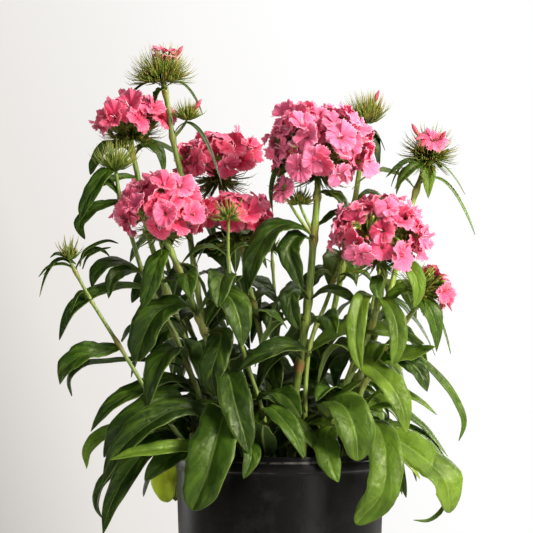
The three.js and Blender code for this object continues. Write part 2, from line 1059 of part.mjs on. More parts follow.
// A rounded core that things grow out of, as one skin. The core is the convex hull of the feet
// of all growths and of a few more points; the hull's faces inside a foot are left out, and the
// growth, a row of rings and an end point, goes on from there.
function grownCore(growths, morePoints, matrix) {
  const feet = growths.map((growth) => growth.rings[0]);
  const points = [...feet.flat(), ...morePoints];
  const owner = new Map(feet.flatMap((foot, g) => foot.map((point) => [point, g])));
  const number = new Map(points.map((point, i) => [point, i]));
  const index = [];
  for (const face of new ConvexHull().setFromPoints(points).faces) {
    const corners = [face.edge.prev, face.edge, face.edge.next].map((edge) => edge.head().point);
    const [a, b, c] = corners.map((point) => owner.get(point));
    if (a === undefined || a !== b || b !== c) index.push(...corners.map((p) => number.get(p)));
  }
  for (const { rings, end } of growths) {
    for (const ring of rings.slice(1)) points.push(...ring);
    points.push(end);
    rings.flat().concat(end).forEach((point) => number.set(point, points.indexOf(point)));
    rings.slice(1).forEach((ring, r) => index.push(...bridge(rings[r], ring, number)));
    const last = rings[rings.length - 1];
    last.forEach((point, i) => {
      index.push(number.get(point), number.get(last[(i + 1) % last.length]), number.get(end));
    });
  }
  const placedPoints = points.map((point) => point.clone().applyMatrix4(matrix));
  return asSolid(placedPoints.flatMap((p) => [p.x, p.y, p.z]), index);
}

// The faces between a ring and the next one, which has as many points or three times as many.
function bridge(ring, next, number) {
  const index = [];
  const times = next.length / ring.length;
  ring.forEach((point, i) => {
    const other = ring[(i + 1) % ring.length];
    const fan = Array.from({ length: times + 1 }, (_, k) => next[(i * times + k) % next.length]);
    for (let k = 0; k + 1 < times; k++) index.push(point, fan[k + 1], fan[k]);
    index.push(point, other, fan[times - 1], other, fan[times], fan[times - 1]);
  });
  return index.map((point) => number.get(point));
}

// The frame of a head: its cup's centre and the plane on which the pink core sits.
function headFrame(head) {
  const turn = new THREE.Quaternion().setFromUnitVectors(UP, vec(...head.lean, 1).normalize());
  const matrix = new THREE.Matrix4().compose(vec(...head.at), turn, vec(1, 1, 1));
  const seat = -headShape.seat * head.core * head.squash;
  const cupCentre = vec(0, 0, head.core ? seat - headShape.cupRise * head.cup : 0);
  return { matrix, seat, cupCentre, top: cupCentre.clone().applyMatrix4(matrix) };
}

// Where each floret of a head faces, and how wide it can open before it meets another one of
// its own layer, or crosses one of another layer.
function floretPlaces(head, wobble) {
  const places = spiral(head.florets, 0, head.round, wobble).map(({ polar, bearing }, i) => {
    const layer = (i % 3) - 1;
    const { point, normal } = onEllipsoid(head.radius, head.squash, polar, bearing);
    normal.add(scatter(wobble, floretShape.tilt)).normalize();
    point.addScaledVector(normal, layer * floretShape.layer);
    const foot = onEllipsoid(head.core, head.squash, polar * floretShape.footSpread, bearing);
    const neck = Math.min(floretShape.neck, floretShape.neckShare * head.core);
    return { point, normal, foot, neck, layer, twist: wobble() * Math.PI };
  });
  for (const one of places) {
    one.size = head.size;
    for (const other of places) {
      if (other === one) continue;
      const apart = one.point.distanceTo(other.point);
      const overlap = ((floretShape.layer - 1) * head.radius) / apart;
      const room = one.layer === other.layer ? -floretShape.air : overlap - floretShape.air;
      one.size = Math.min(one.size, apart / 2 + room);
    }
  }
  return places;
}

// Five petals round a sunken throat, on a neck that runs down to the core.
function makeFloret({ point, normal, foot, neck, twist }, size) {
  const sector = (2 * Math.PI) / floretShape.petals;
  const { notch, corner, petals, neckDepth, dish } = floretShape;
  const outline = evenRing(petals, 1).flatMap(([angle]) => [
    [angle, size * notch],
    [angle + (0.5 - corner) * sector, size],
    [angle + (0.5 + corner) * sector, size],
  ]);
  const below = point.clone().addScaledVector(normal, -neckDepth);
  return {
    rings: [
      ringFacing(foot.point, foot.normal, evenRing(petals, neck), twist),
      ringFacing(below, normal, evenRing(petals, neck), twist),
      ringFacing(point, normal, outline, twist),
    ],
    end: point.clone().addScaledVector(normal, -dish),
  };
}

// The pointed body between a ring and an end point, moved to where its head stands.
function spike(ring, end, matrix) {
  return loft([ring, [end]].map((points) => points.map((p) => p.clone().applyMatrix4(matrix))));
}

// All florets of a head and the core they stand on, as one pink body.
function makeBloom(head, { matrix, seat }, wobble) {
  const florets = [];
  for (const spot of floretPlaces(head, wobble)) {
    const { rings, end } = makeFloret(spot, spot.size + CLEARANCE);
    if (isFree(spike(rings[2], end, matrix), [])) florets.push(makeFloret(spot, spot.size));
  }
  const rim = evenRing(headShape.coreRimSides, headShape.coreRim * head.core);
  return grownCore(florets, ringFacing(vec(0, 0, seat), UP, rim, 0), matrix);
}

// The green cup under a head, or the whole of a bud cluster, with its sharp bracts.
function makeCup(head, { matrix, seat, cupCentre }, wobble) {
  const [count, reach, from, to] = head.bracts;
  const footRadius = Math.min(bractShape.radius, bractShape.share * head.cup);
  const highest = seat - GAP - bractShape.seatRoom * footRadius - cupCentre.z;
  const start = Math.max(rad(from), head.core ? Math.acos(highest / head.cup) : 0);
  const bracts = [];
  for (const { polar, bearing } of spiral(count, from, to, wobble)) {
    const footPolar = start + ((polar - rad(from)) * (rad(to) - start)) / rad(to - from);
    const { point, normal } = onEllipsoid(head.cup, 1, footPolar, bearing);
    const centre = point.add(cupCentre);
    const out = onEllipsoid(1, 1, polar, bearing).normal;
    out.add(scatter(wobble, bractShape.scatter)).normalize();
    const length = (reach - head.cup) * (1 + bractShape.unevenness * wobble());
    const bract = (extra) => ({
      rings: [ringFacing(centre, normal, evenRing(3, footRadius + extra), 0)],
      end: centre.clone().addScaledVector(out, length + extra),
    });
    const { rings, end } = bract(CLEARANCE);
    if (isFree(spike(rings[0], end, matrix), [head.stem])) bracts.push(bract(0));
  }
  const rim = evenRing(headShape.cupRimSides, headShape.cupRim * head.cup);
  const flatFace = ringFacing(vec(0, 0, seat - GAP), UP, rim, 0);
  return grownCore(bracts, head.core ? flatFace : [vec(0, 0, head.cup)], matrix);
}

// ---------------------------------------------------------------- leaves
function pairLeaves([height, bearing], stem) {
  const top = stem.path[stem.path.length - 1][2];
  const share = (height - STEM_START) / (top - STEM_START);
  const reach = THREE.MathUtils.lerp(...pairShape.reach, share);
  const width = THREE.MathUtils.lerp(...pairShape.width, share);
  const drop = pairShape.drop * reach;
  const rise = pairShape.rise * reach;
  return [0, 180].map((turn) => [height, bearing + turn, reach, drop, rise, width, 0]);
}

// How wide a blade is along its length, as a share of its widest: a lance shape, whose highest
// value 0.347 scales it, and a base that clasps the stem.
const bladeWidth = (t) => (t * (1 - t) ** 0.6) / 0.347 + 0.3 * (1 - t) ** 3;

// A thin arched blade with a sunken midrib. extra makes it fatter all round.
function makeLeaf(root, leaf, extra = 0) {
  const [, bearing, reach, drop, rise, width, roll, sweep = 0] = leaf;
  const out = vec(Math.cos(rad(bearing)), Math.sin(rad(bearing)), 0);
  const across = vec(-out.y, out.x, 0);
  const at = (t) =>
    root
      .clone()
      .addScaledVector(out, reach * (2 * t * (1 - t) * leafShape.outward + t * t))
      .addScaledVector(across, sweep * t * t)
      .addScaledVector(UP, 2 * t * (1 - t) * rise + t * t * drop);
  const ahead = (t) => at(t + 0.01).sub(at(t - 0.01)).normalize();
  const narrow = width < leafShape.narrow;
  const wideStations = width < leafShape.broad ? leafShape.stations : leafShape.broadStations;
  const rings = (narrow ? leafShape.narrowStations : wideStations).map((t) => {
    const level = across.clone().projectOnPlane(ahead(t)).normalize();
    const up = ahead(t).cross(level);
    const rolled = Math.min(1, leafShape.rollAtRoot + leafShape.rollGain * t);
    const turn = rad(roll) * (across.y < 0 ? -1 : 1) * rolled;
    const side = level.clone().multiplyScalar(Math.cos(turn)).addScaledVector(up, Math.sin(turn));
    const normal = up.multiplyScalar(Math.cos(turn)).addScaledVector(level, -Math.sin(turn));
    const half = (t ? (width / 2) * bladeWidth(t) : leafShape.root) + extra;
    const edge = (sign) =>
      at(t)
        .addScaledVector(side, sign * half)
        .addScaledVector(normal, leafShape.fold * half);
    const rib = at(t).addScaledVector(normal, -leafShape.ribBelow - extra);
    const groove = at(t).addScaledVector(normal, leafShape.ribAbove + extra);
    return narrow ? [edge(-1), rib, edge(1)] : [edge(-1), rib, edge(1), groove];
  });
  rings.push([at(1).addScaledVector(ahead(1), 2 * extra)]);
  return loft(rings);
}

// The first place near the drawn one, a little higher, lower or turned, where a leaf is free.
function fitLeaf(node, curve, leaf) {
  const root = curve.getPoint(heightOn(curve, leaf[0]));
  for (const turn of leafTurns) {
    for (const lift of leafLifts) {
      const moved = [...leaf];
      moved[1] += turn;
      moved[3] += lift;
      if (isFree(makeLeaf(root, moved, CLEARANCE), [node])) {
        return place(node, makeLeaf(root, moved));
      }
    }
  }
  return null;
}

// ---------------------------------------------------------------- the whole plant
const plant = new THREE.Group();
const allHeads = [...heads, ...budClusters];
const bodies = new Map(stems.map((stem) => [stem.name, []]));
const curves = new Map();

plant.add(meshOf("pot", place("pot", makePot()), finish.pot));
plant.add(meshOf("soil", place("soil", makeSoil()), finish.soil));

for (const stem of stems) {
  const head = allHeads.find((candidate) => candidate.stem === stem.name && !candidate.branch);
  const top = head && headFrame(head).top;
  const curve = stemCurve(stem, top);
  curves.set(stem.name, curve);
  bodies.get(stem.name).push(place(stem.name, makeStem(stem, curve)));
}

for (const head of allHeads.filter((candidate) => candidate.branch)) {
  const curve = curves.get(head.stem);
  const start = curve.getPoint(heightOn(curve, head.branch));
  const branch = makeBranch(start, headFrame(head).top);
  bodies.get(head.stem).push(place(head.stem, branch));
}

heads.forEach((head, i) => {
  const bloom = makeBloom(head, headFrame(head), wobbleFrom(101 + i));
  plant.add(meshOf(head.name, place(head.name, bloom), finish.bloom));
});

allHeads.forEach((head, i) => {
  const cup = makeCup(head, headFrame(head), wobbleFrom(501 + i));
  bodies.get(head.stem).push(place(head.stem, cup));
});

// The leaves that are drawn one by one find their places first, then those of the pairs.
const drawnLeaves = stems.map((stem) => [stem, stem.leaves]);
const pairedLeaves = stems.map((stem) => [stem, stem.pairs.flatMap((p) => pairLeaves(p, stem))]);
for (const [stem, leaves] of [...drawnLeaves, ...pairedLeaves]) {
  for (const leaf of leaves) {
    const blade = fitLeaf(stem.name, curves.get(stem.name), leaf);
    if (blade) bodies.get(stem.name).push(blade);
  }
}

for (const stem of stems) {
  const look = stem.name.startsWith("shoot") ? finish.shoot : finish.leafyStem;
  plant.add(meshOf(stem.name, fused(bodies.get(stem.name)), look));
}

export default plant;
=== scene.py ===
import math
import random
from functools import partial

import bpy
import numpy as np
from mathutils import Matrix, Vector
from mathutils.bvhtree import BVHTree


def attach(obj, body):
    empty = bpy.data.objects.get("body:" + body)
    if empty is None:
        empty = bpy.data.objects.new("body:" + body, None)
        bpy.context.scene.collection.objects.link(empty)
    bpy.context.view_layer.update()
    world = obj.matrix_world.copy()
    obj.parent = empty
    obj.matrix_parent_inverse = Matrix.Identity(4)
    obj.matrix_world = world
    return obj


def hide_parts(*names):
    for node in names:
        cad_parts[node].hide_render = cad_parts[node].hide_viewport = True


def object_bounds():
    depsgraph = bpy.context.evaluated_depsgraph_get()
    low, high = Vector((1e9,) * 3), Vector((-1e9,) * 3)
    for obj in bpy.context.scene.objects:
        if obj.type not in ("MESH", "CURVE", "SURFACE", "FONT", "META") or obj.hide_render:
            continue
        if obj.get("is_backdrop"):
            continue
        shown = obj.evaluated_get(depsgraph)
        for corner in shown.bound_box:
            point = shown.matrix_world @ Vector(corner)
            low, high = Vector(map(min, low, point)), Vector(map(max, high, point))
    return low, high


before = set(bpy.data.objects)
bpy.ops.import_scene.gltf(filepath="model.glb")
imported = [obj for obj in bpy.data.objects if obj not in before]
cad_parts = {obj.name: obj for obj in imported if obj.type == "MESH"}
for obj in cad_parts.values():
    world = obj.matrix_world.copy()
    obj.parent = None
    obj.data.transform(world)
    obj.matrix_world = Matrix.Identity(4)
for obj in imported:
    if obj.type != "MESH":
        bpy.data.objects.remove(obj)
cad_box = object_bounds()


# ---------------------------------------------------------------- camera
# A long lens, level with the middle of the plant, a little left of the pot's axis.
camera_data = bpy.data.cameras.new("camera")
camera_data.sensor_width = 36
camera_data.lens = 223.4
camera = bpy.data.objects.new("camera", camera_data)
camera.location = (-0.0106, -2.6, 0.31)
camera.rotation_euler = (math.pi / 2, 0, 0)
bpy.context.collection.objects.link(camera)
bpy.context.scene.camera = camera


# ---------------------------------------------------------------- pot
# A nursery pot, blow-moulded in one piece from black polyethylene: a tapered wall, a stiffening
# band with a narrow lip round the rim, and drain holes in its flat underside.
MM = 0.001


def linear(hex_colour):
    """An sRGB hex colour as linear RGBA."""
    parts = [int(hex_colour[i:i + 2], 16) / 255 for i in (1, 3, 5)]
    return [p / 12.92 if p <= 0.04045 else ((p + 0.055) / 1.055) ** 2.4 for p in parts] + [1]


def feed(node, inputs):
    """Sets a shader node's inputs: each a number, a hex colour, another node or its output."""
    for key, value in inputs.items():
        if isinstance(value, bpy.types.Node):
            value = next(output for output in value.outputs if output.enabled)
        if isinstance(value, bpy.types.NodeSocket):
            node.id_data.links.new(value, node.inputs[key])
        else:
            node.inputs[key].default_value = linear(value) if isinstance(value, str) else value


def add(tree, kind, inputs, stops=(), **settings):
    """Adds a shader node with its settings, its inputs and, for a ramp, its colour stops."""
    made = tree.nodes.new("ShaderNode" + kind)
    for key, value in settings.items():
        setattr(made, key, value)
    feed(made, inputs)
    for i, (place, colour) in enumerate(stops):
        ramp = made.color_ramp.elements
        stop = ramp[i] if i < 2 else ramp.new(place)
        stop.position = place
        stop.color = linear(colour)
    return made


def new_material(name):
    """A material with one Principled shader, its node tree, and where its patterns are placed."""
    material = bpy.data.materials.new(name)
    material.use_nodes = True
    tree = material.node_tree
    place = add(tree, "TexCoord", {}).outputs["Object"]
    return material, tree, tree.nodes["Principled BSDF"], place


def hold(made, name):
    """Names the object that an operator has just made, and deselects everything."""
    made.name = name
    made.data.name = name
    bpy.ops.object.select_all(action="DESELECT")
    return made


def apply_modifier(thing, kind, **settings):
    """Adds a modifier to an object and applies it."""
    bpy.context.view_layer.objects.active = thing
    modifier = thing.modifiers.new(kind.lower(), kind)
    for key, value in settings.items():
        setattr(modifier, key, value)
    bpy.ops.object.modifier_apply(modifier=modifier.name)


def turned_shell(name, profile, sides):
    """A solid of revolution: a filled disc, extruded and scaled from point to profile point."""
    radius, height = profile[0]
    bpy.ops.object.select_all(action="DESELECT")
    bpy.ops.mesh.primitive_circle_add(
        vertices=sides, radius=radius * MM, fill_type="NGON", location=(0, 0, height * MM)
    )
    bpy.ops.object.transform_apply(location=True)
    bpy.ops.object.mode_set(mode="EDIT")
    bpy.ops.mesh.select_all(action="SELECT")
    for next_radius, next_height in profile[1:]:
        bpy.ops.mesh.extrude_region_move(
            TRANSFORM_OT_translate={"value": (0, 0, (next_height - height) * MM)}
        )
        scale = next_radius / radius
        bpy.ops.transform.resize(value=(scale, scale, 1), center_override=(0, 0, 0))
        radius, height = next_radius, next_height
    bpy.ops.mesh.select_all(action="SELECT")
    bpy.ops.mesh.normals_make_consistent(inside=False)
    bpy.ops.object.mode_set(mode="OBJECT")
    return hold(bpy.context.object, name)


# Radius and height of each point: from the foot up the outside, over the rim and down inside.
POT_PROFILE = [
    (72.4, 0.5), (72.8, 0.1), (75.0, 0.2), (75.9, 0.8), (76.3, 1.8), (79.0, 74), (81.3, 147),
    (81.4, 150.6), (81.5, 151.6), (81.8, 152.3), (82.2, 152.9), (82.4, 153.8), (82.4, 158.6),
    (82.3, 159.4), (81.9, 159.9), (81.5, 160.3), (81.4, 161), (81.4, 163.4), (81.2, 164.4),
    (80.7, 164.9), (80.1, 164.9), (79.6, 164.3), (79.3, 163.2), (79.1, 151), (75.6, 74),
    (72.3, 4), (71.4, 2.7), (69.6, 2.3), (20, 2.3),
]
POT_SIDES = 144
LIP = 160.2  # height of the lip's lower edge
BAND = 152.5  # and of the band's
DUSTY_FROM, DUSTY_TO = 130, 166  # heights between which dust gathers on the wall
DRAIN_HOLES = 6
DRAIN_RADIUS = 6
DRAIN_CIRCLE = 50
DRILL_LENGTH = 20

pot = turned_shell("pot_shell", POT_PROFILE, POT_SIDES)
for i in range(DRAIN_HOLES):
    bearing = (i + 0.5) * math.tau / DRAIN_HOLES
    bpy.ops.mesh.primitive_cylinder_add(
        vertices=24,
        radius=DRAIN_RADIUS * MM,
        depth=DRILL_LENGTH * MM,
        location=(DRAIN_CIRCLE * MM * math.cos(bearing), DRAIN_CIRCLE * MM * math.sin(bearing), 0),
    )
    drill = hold(bpy.context.object, "drill")
    apply_modifier(pot, "BOOLEAN", object=drill, operation="DIFFERENCE", solver="EXACT")
    bpy.data.objects.remove(drill)
pot.select_set(True)
bpy.ops.object.shade_smooth_by_angle(angle=math.radians(35))

# Black polyethylene, blow-moulded: satin, faintly pebbled, with flow marks, dust below the rim,
# and on the edges of lip and band a grey line, partly rub and partly painted highlight.
plastic, tree, shader, place = new_material("black polyethylene, blow-moulded")
pebble = add(tree, "TexNoise", {"Vector": place, "Scale": 900, "Detail": 3})
stretched = add(tree, "Mapping", {"Vector": place, "Scale": (1, 1, 0.12)})
flow = add(tree, "TexNoise", {"Vector": stretched, "Scale": 60, "Detail": 4})
scuff = add(tree, "TexNoise", {"Vector": place, "Scale": 35, "Detail": 6, "Roughness": 0.7})
height = add(tree, "SeparateXYZ", {"Vector": place}).outputs["Z"]
dust = add(tree, "MapRange", {"Value": scuff, "From Min": 0.52, "From Max": 0.8})
near_rim = add(
    tree,
    "MapRange",
    {"Value": height, "From Min": DUSTY_FROM * MM, "From Max": DUSTY_TO * MM, "To Min": 0.25},
)
dusty = add(tree, "Math", {0: dust, 1: near_rim}, operation="MULTIPLY")
# Lip and band edges: a thin grey line, partly rub and partly a painted highlight.
off_lip = add(tree, "Math", {0: height, 1: LIP * MM}, operation="SUBTRACT")
off_band = add(tree, "Math", {0: height, 1: BAND * MM}, operation="SUBTRACT")
lip_far = add(tree, "Math", {0: off_lip}, operation="ABSOLUTE")
band_far = add(tree, "Math", {0: off_band}, operation="ABSOLUTE")
band_highlight_far = add(tree, "Math", {0: band_far, 1: 0.0006}, operation="ADD")
edge_far = add(tree, "Math", {0: lip_far, 1: band_highlight_far}, operation="MINIMUM")
on_edge = add(
    tree,
    "MapRange",
    {"Value": edge_far, "From Min": 0.0002, "From Max": 0.0011, "To Min": 1, "To Max": 0},
)
rubbed = add(tree, "MapRange", {"Value": scuff, "From Min": 0.4, "From Max": 0.62})
painted_edge_highlight = add(tree, "Math", {0: on_edge, 1: rubbed}, operation="MULTIPLY")
tint = add(tree, "ValToRGB", {"Fac": flow}, stops=[(0.35, "#030303"), (0.65, "#060606")])
colour = add(tree, "Mix", {0: dusty, 6: tint, 7: "#3A3835"}, data_type="RGBA")
edged = add(tree, "Mix", {0: painted_edge_highlight, 6: colour, 7: "#5C5C5A"}, data_type="RGBA")
rough = add(
    tree,
    "MapRange",
    {"Value": flow, "From Min": 0.3, "From Max": 0.7, "To Min": 0.26, "To Max": 0.38},
)
bump = add(tree, "Bump", {"Height": pebble, "Strength": 0.25, "Distance": 0.0003})
flow_bump = add(tree, "Bump", {"Height": flow, "Strength": 0.3, "Distance": 0.0008, "Normal": bump})
feed(shader, {
    "Base Color": edged, "Roughness": rough, "Normal": flow_bump,
    "IOR": 1.47, "Specular IOR Level": 0.15,
})
pot.data.materials.append(plastic)
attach(pot, "root")
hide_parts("pot")


# ---------------------------------------------------------------- potting mix
# Loose dark peat that fills the pot to a finger's width below the rim, with crumbs of peat and
# white perlite grains on top.
SOIL_RADIUS = 78.0  # where its surface meets the wall
SOIL_WALL = 147  # up to here it lies against the wall
SOIL_EDGE = 148.2  # height of the surface near the wall
SOIL_MOUND = 6.4  # how much higher the surface is nearer the middle
SOIL_MIDDLE = 1.2  # radius of the innermost ring
SOIL_RINGS = 30
SOIL_SIDES = 96
LUMPS = ((14, 6), (4, 3.5))  # their size, and how far they lift the surface
CRUMBS = 420
CRUMB_REACH = 76
PERLITE_EVERY = 6  # one crumb in so many is white

soil_profile = [(70.9, 2.7), (71.6, 4), (SOIL_RADIUS, SOIL_WALL)]
for i in range(SOIL_RINGS):
    share = (i + 1) / SOIL_RINGS
    radius = SOIL_RADIUS * (1 - share) + SOIL_MIDDLE * share
    soil_profile.append((radius, SOIL_EDGE + SOIL_MOUND * min(1, 3.2 * share)))
soil = turned_shell("potting_mix", soil_profile, SOIL_SIDES)
on_top = [v.index for v in soil.data.vertices if v.co.z > (SOIL_WALL + 0.5) * MM]
soil.vertex_groups.new(name="surface").add(on_top, 1, "REPLACE")
for size, strength in LUMPS:
    lumps = bpy.data.textures.new("lumps", "CLOUDS")
    lumps.noise_scale = size * MM
    apply_modifier(
        soil,
        "DISPLACE",
        texture=lumps,
        texture_coords="LOCAL",
        strength=strength * MM,
        vertex_group="surface",
        direction="Z",
        mid_level=0.6,
    )


def pattern(add_primitive, **settings):
    """The corners and faces of a primitive, kept as a pattern from which copies are made."""
    add_primitive(**settings)
    made = bpy.context.object
    corners = np.array([v.co for v in made.data.vertices])
    faces = [list(f.vertices) for f in made.data.polygons]
    bpy.data.objects.remove(made)
    return corners, faces


def unit(vectors):
    """Vectors of length one, along the last axis."""
    return vectors / np.maximum(np.linalg.norm(vectors, axis=-1, keepdims=True), 1e-9)


def add_mesh(name, parts, finishes):
    """One object of many parts, each (points in mm, faces, tone of each point, finish number)."""
    points = np.concatenate([part[0] for part in parts]) * MM
    tones = np.concatenate([part[2] for part in parts])
    faces = []
    finish_numbers = []
    start = 0
    for corners, part_faces, _, finish in parts:
        faces += [[c + start for c in face] for face in part_faces]
        finish_numbers += [finish] * len(part_faces)
        start += len(corners)
    mesh = bpy.data.meshes.new(name)
    mesh.from_pydata(points.tolist(), [], faces)
    mesh.polygons.foreach_set("material_index", finish_numbers)
    tone = mesh.attributes.new("tone", "FLOAT_COLOR", "POINT")
    tone.data.foreach_set("color", np.column_stack([tones, np.ones(len(tones))]).ravel())
    for finish in finishes:
        mesh.materials.append(finish)
    made = bpy.data.objects.new(name, mesh)
    bpy.context.collection.objects.link(made)
    return made


def join(things, name):
    """Several objects made one, which keeps each one's finishes."""
    bpy.ops.object.select_all(action="DESELECT")
    for thing in things:
        thing.select_set(True)
    bpy.context.view_layer.objects.active = things[0]
    if len(things) > 1:
        bpy.ops.object.join()
    bpy.ops.object.shade_smooth()
    return hold(things[0], name)


# Peat: almost black brown, rough all over.
peat, tree, shader, place = new_material("peat potting mix, loose")
grain = add(tree, "TexNoise", {"Vector": place, "Scale": 420, "Detail": 6, "Roughness": 0.7})
patch = add(tree, "TexNoise", {"Vector": place, "Scale": 70, "Detail": 3})
browns = [(0.32, "#120D09"), (0.52, "#2C2118"), (0.7, "#4A3828")]
brown = add(tree, "ValToRGB", {"Fac": grain}, stops=browns)
damp = add(tree, "MapRange", {"Value": patch, "From Min": 0.4, "From Max": 0.65})
colour = add(tree, "Mix", {0: damp, 6: brown, 7: "#1D1510"}, data_type="RGBA")
bump = add(tree, "Bump", {"Height": grain, "Strength": 0.9, "Distance": 0.001})
feed(shader, {"Base Color": colour, "Normal": bump, "Roughness": 0.95})

# Perlite: white expanded glass, dull and pitted.
perlite, tree, shader, place = new_material("perlite, expanded")
grain = add(tree, "TexNoise", {"Vector": place, "Scale": 900, "Detail": 4})
white = add(tree, "ValToRGB", {"Fac": grain}, stops=[(0.35, "#A9A297"), (0.6, "#E4E0D8")])
feed(shader, {"Base Color": white, "Roughness": 0.9})

corners, faces = pattern(bpy.ops.mesh.primitive_ico_sphere_add, subdivisions=1, radius=1)
surface = BVHTree.FromObject(soil, bpy.context.evaluated_depsgraph_get())
draw = random.Random(7)
crumbs = []
for i in range(CRUMBS):
    reach = CRUMB_REACH * math.sqrt(draw.random())
    bearing = draw.uniform(0, math.tau)
    at = Vector((reach * math.cos(bearing), reach * math.sin(bearing), 0))
    hit = surface.ray_cast(Vector((at.x * MM, at.y * MM, 0.3)), Vector((0, 0, -1)))[0]
    is_white = i % PERLITE_EVERY == 0
    size = draw.uniform(0.8, 1.9 if is_white else 2.8)
    shape = size * np.array(
        [draw.uniform(0.6, 1.2), draw.uniform(0.6, 1.2), draw.uniform(0.5, 0.9)]
    )
    lumpy = 1 + 0.25 * np.array([[draw.uniform(-1, 1)] for _ in corners])
    turn = Vector((draw.uniform(-1, 1), draw.uniform(-1, 1), draw.uniform(-1, 1)))
    matrix = np.array(turn.to_track_quat("Z", "Y").to_matrix())
    points = (corners * lumpy * shape) @ matrix.T + np.array([at.x, at.y, hit.z / MM + 0.2 * size])
    crumbs.append((points, faces, np.full((len(points), 3), 0.5), 1 if is_white else 0))
soil.data.materials.append(peat)
soil = join([soil, add_mesh("crumbs", crumbs, [peat, perlite])], "potting_mix")
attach(soil, "root")
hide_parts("soil")
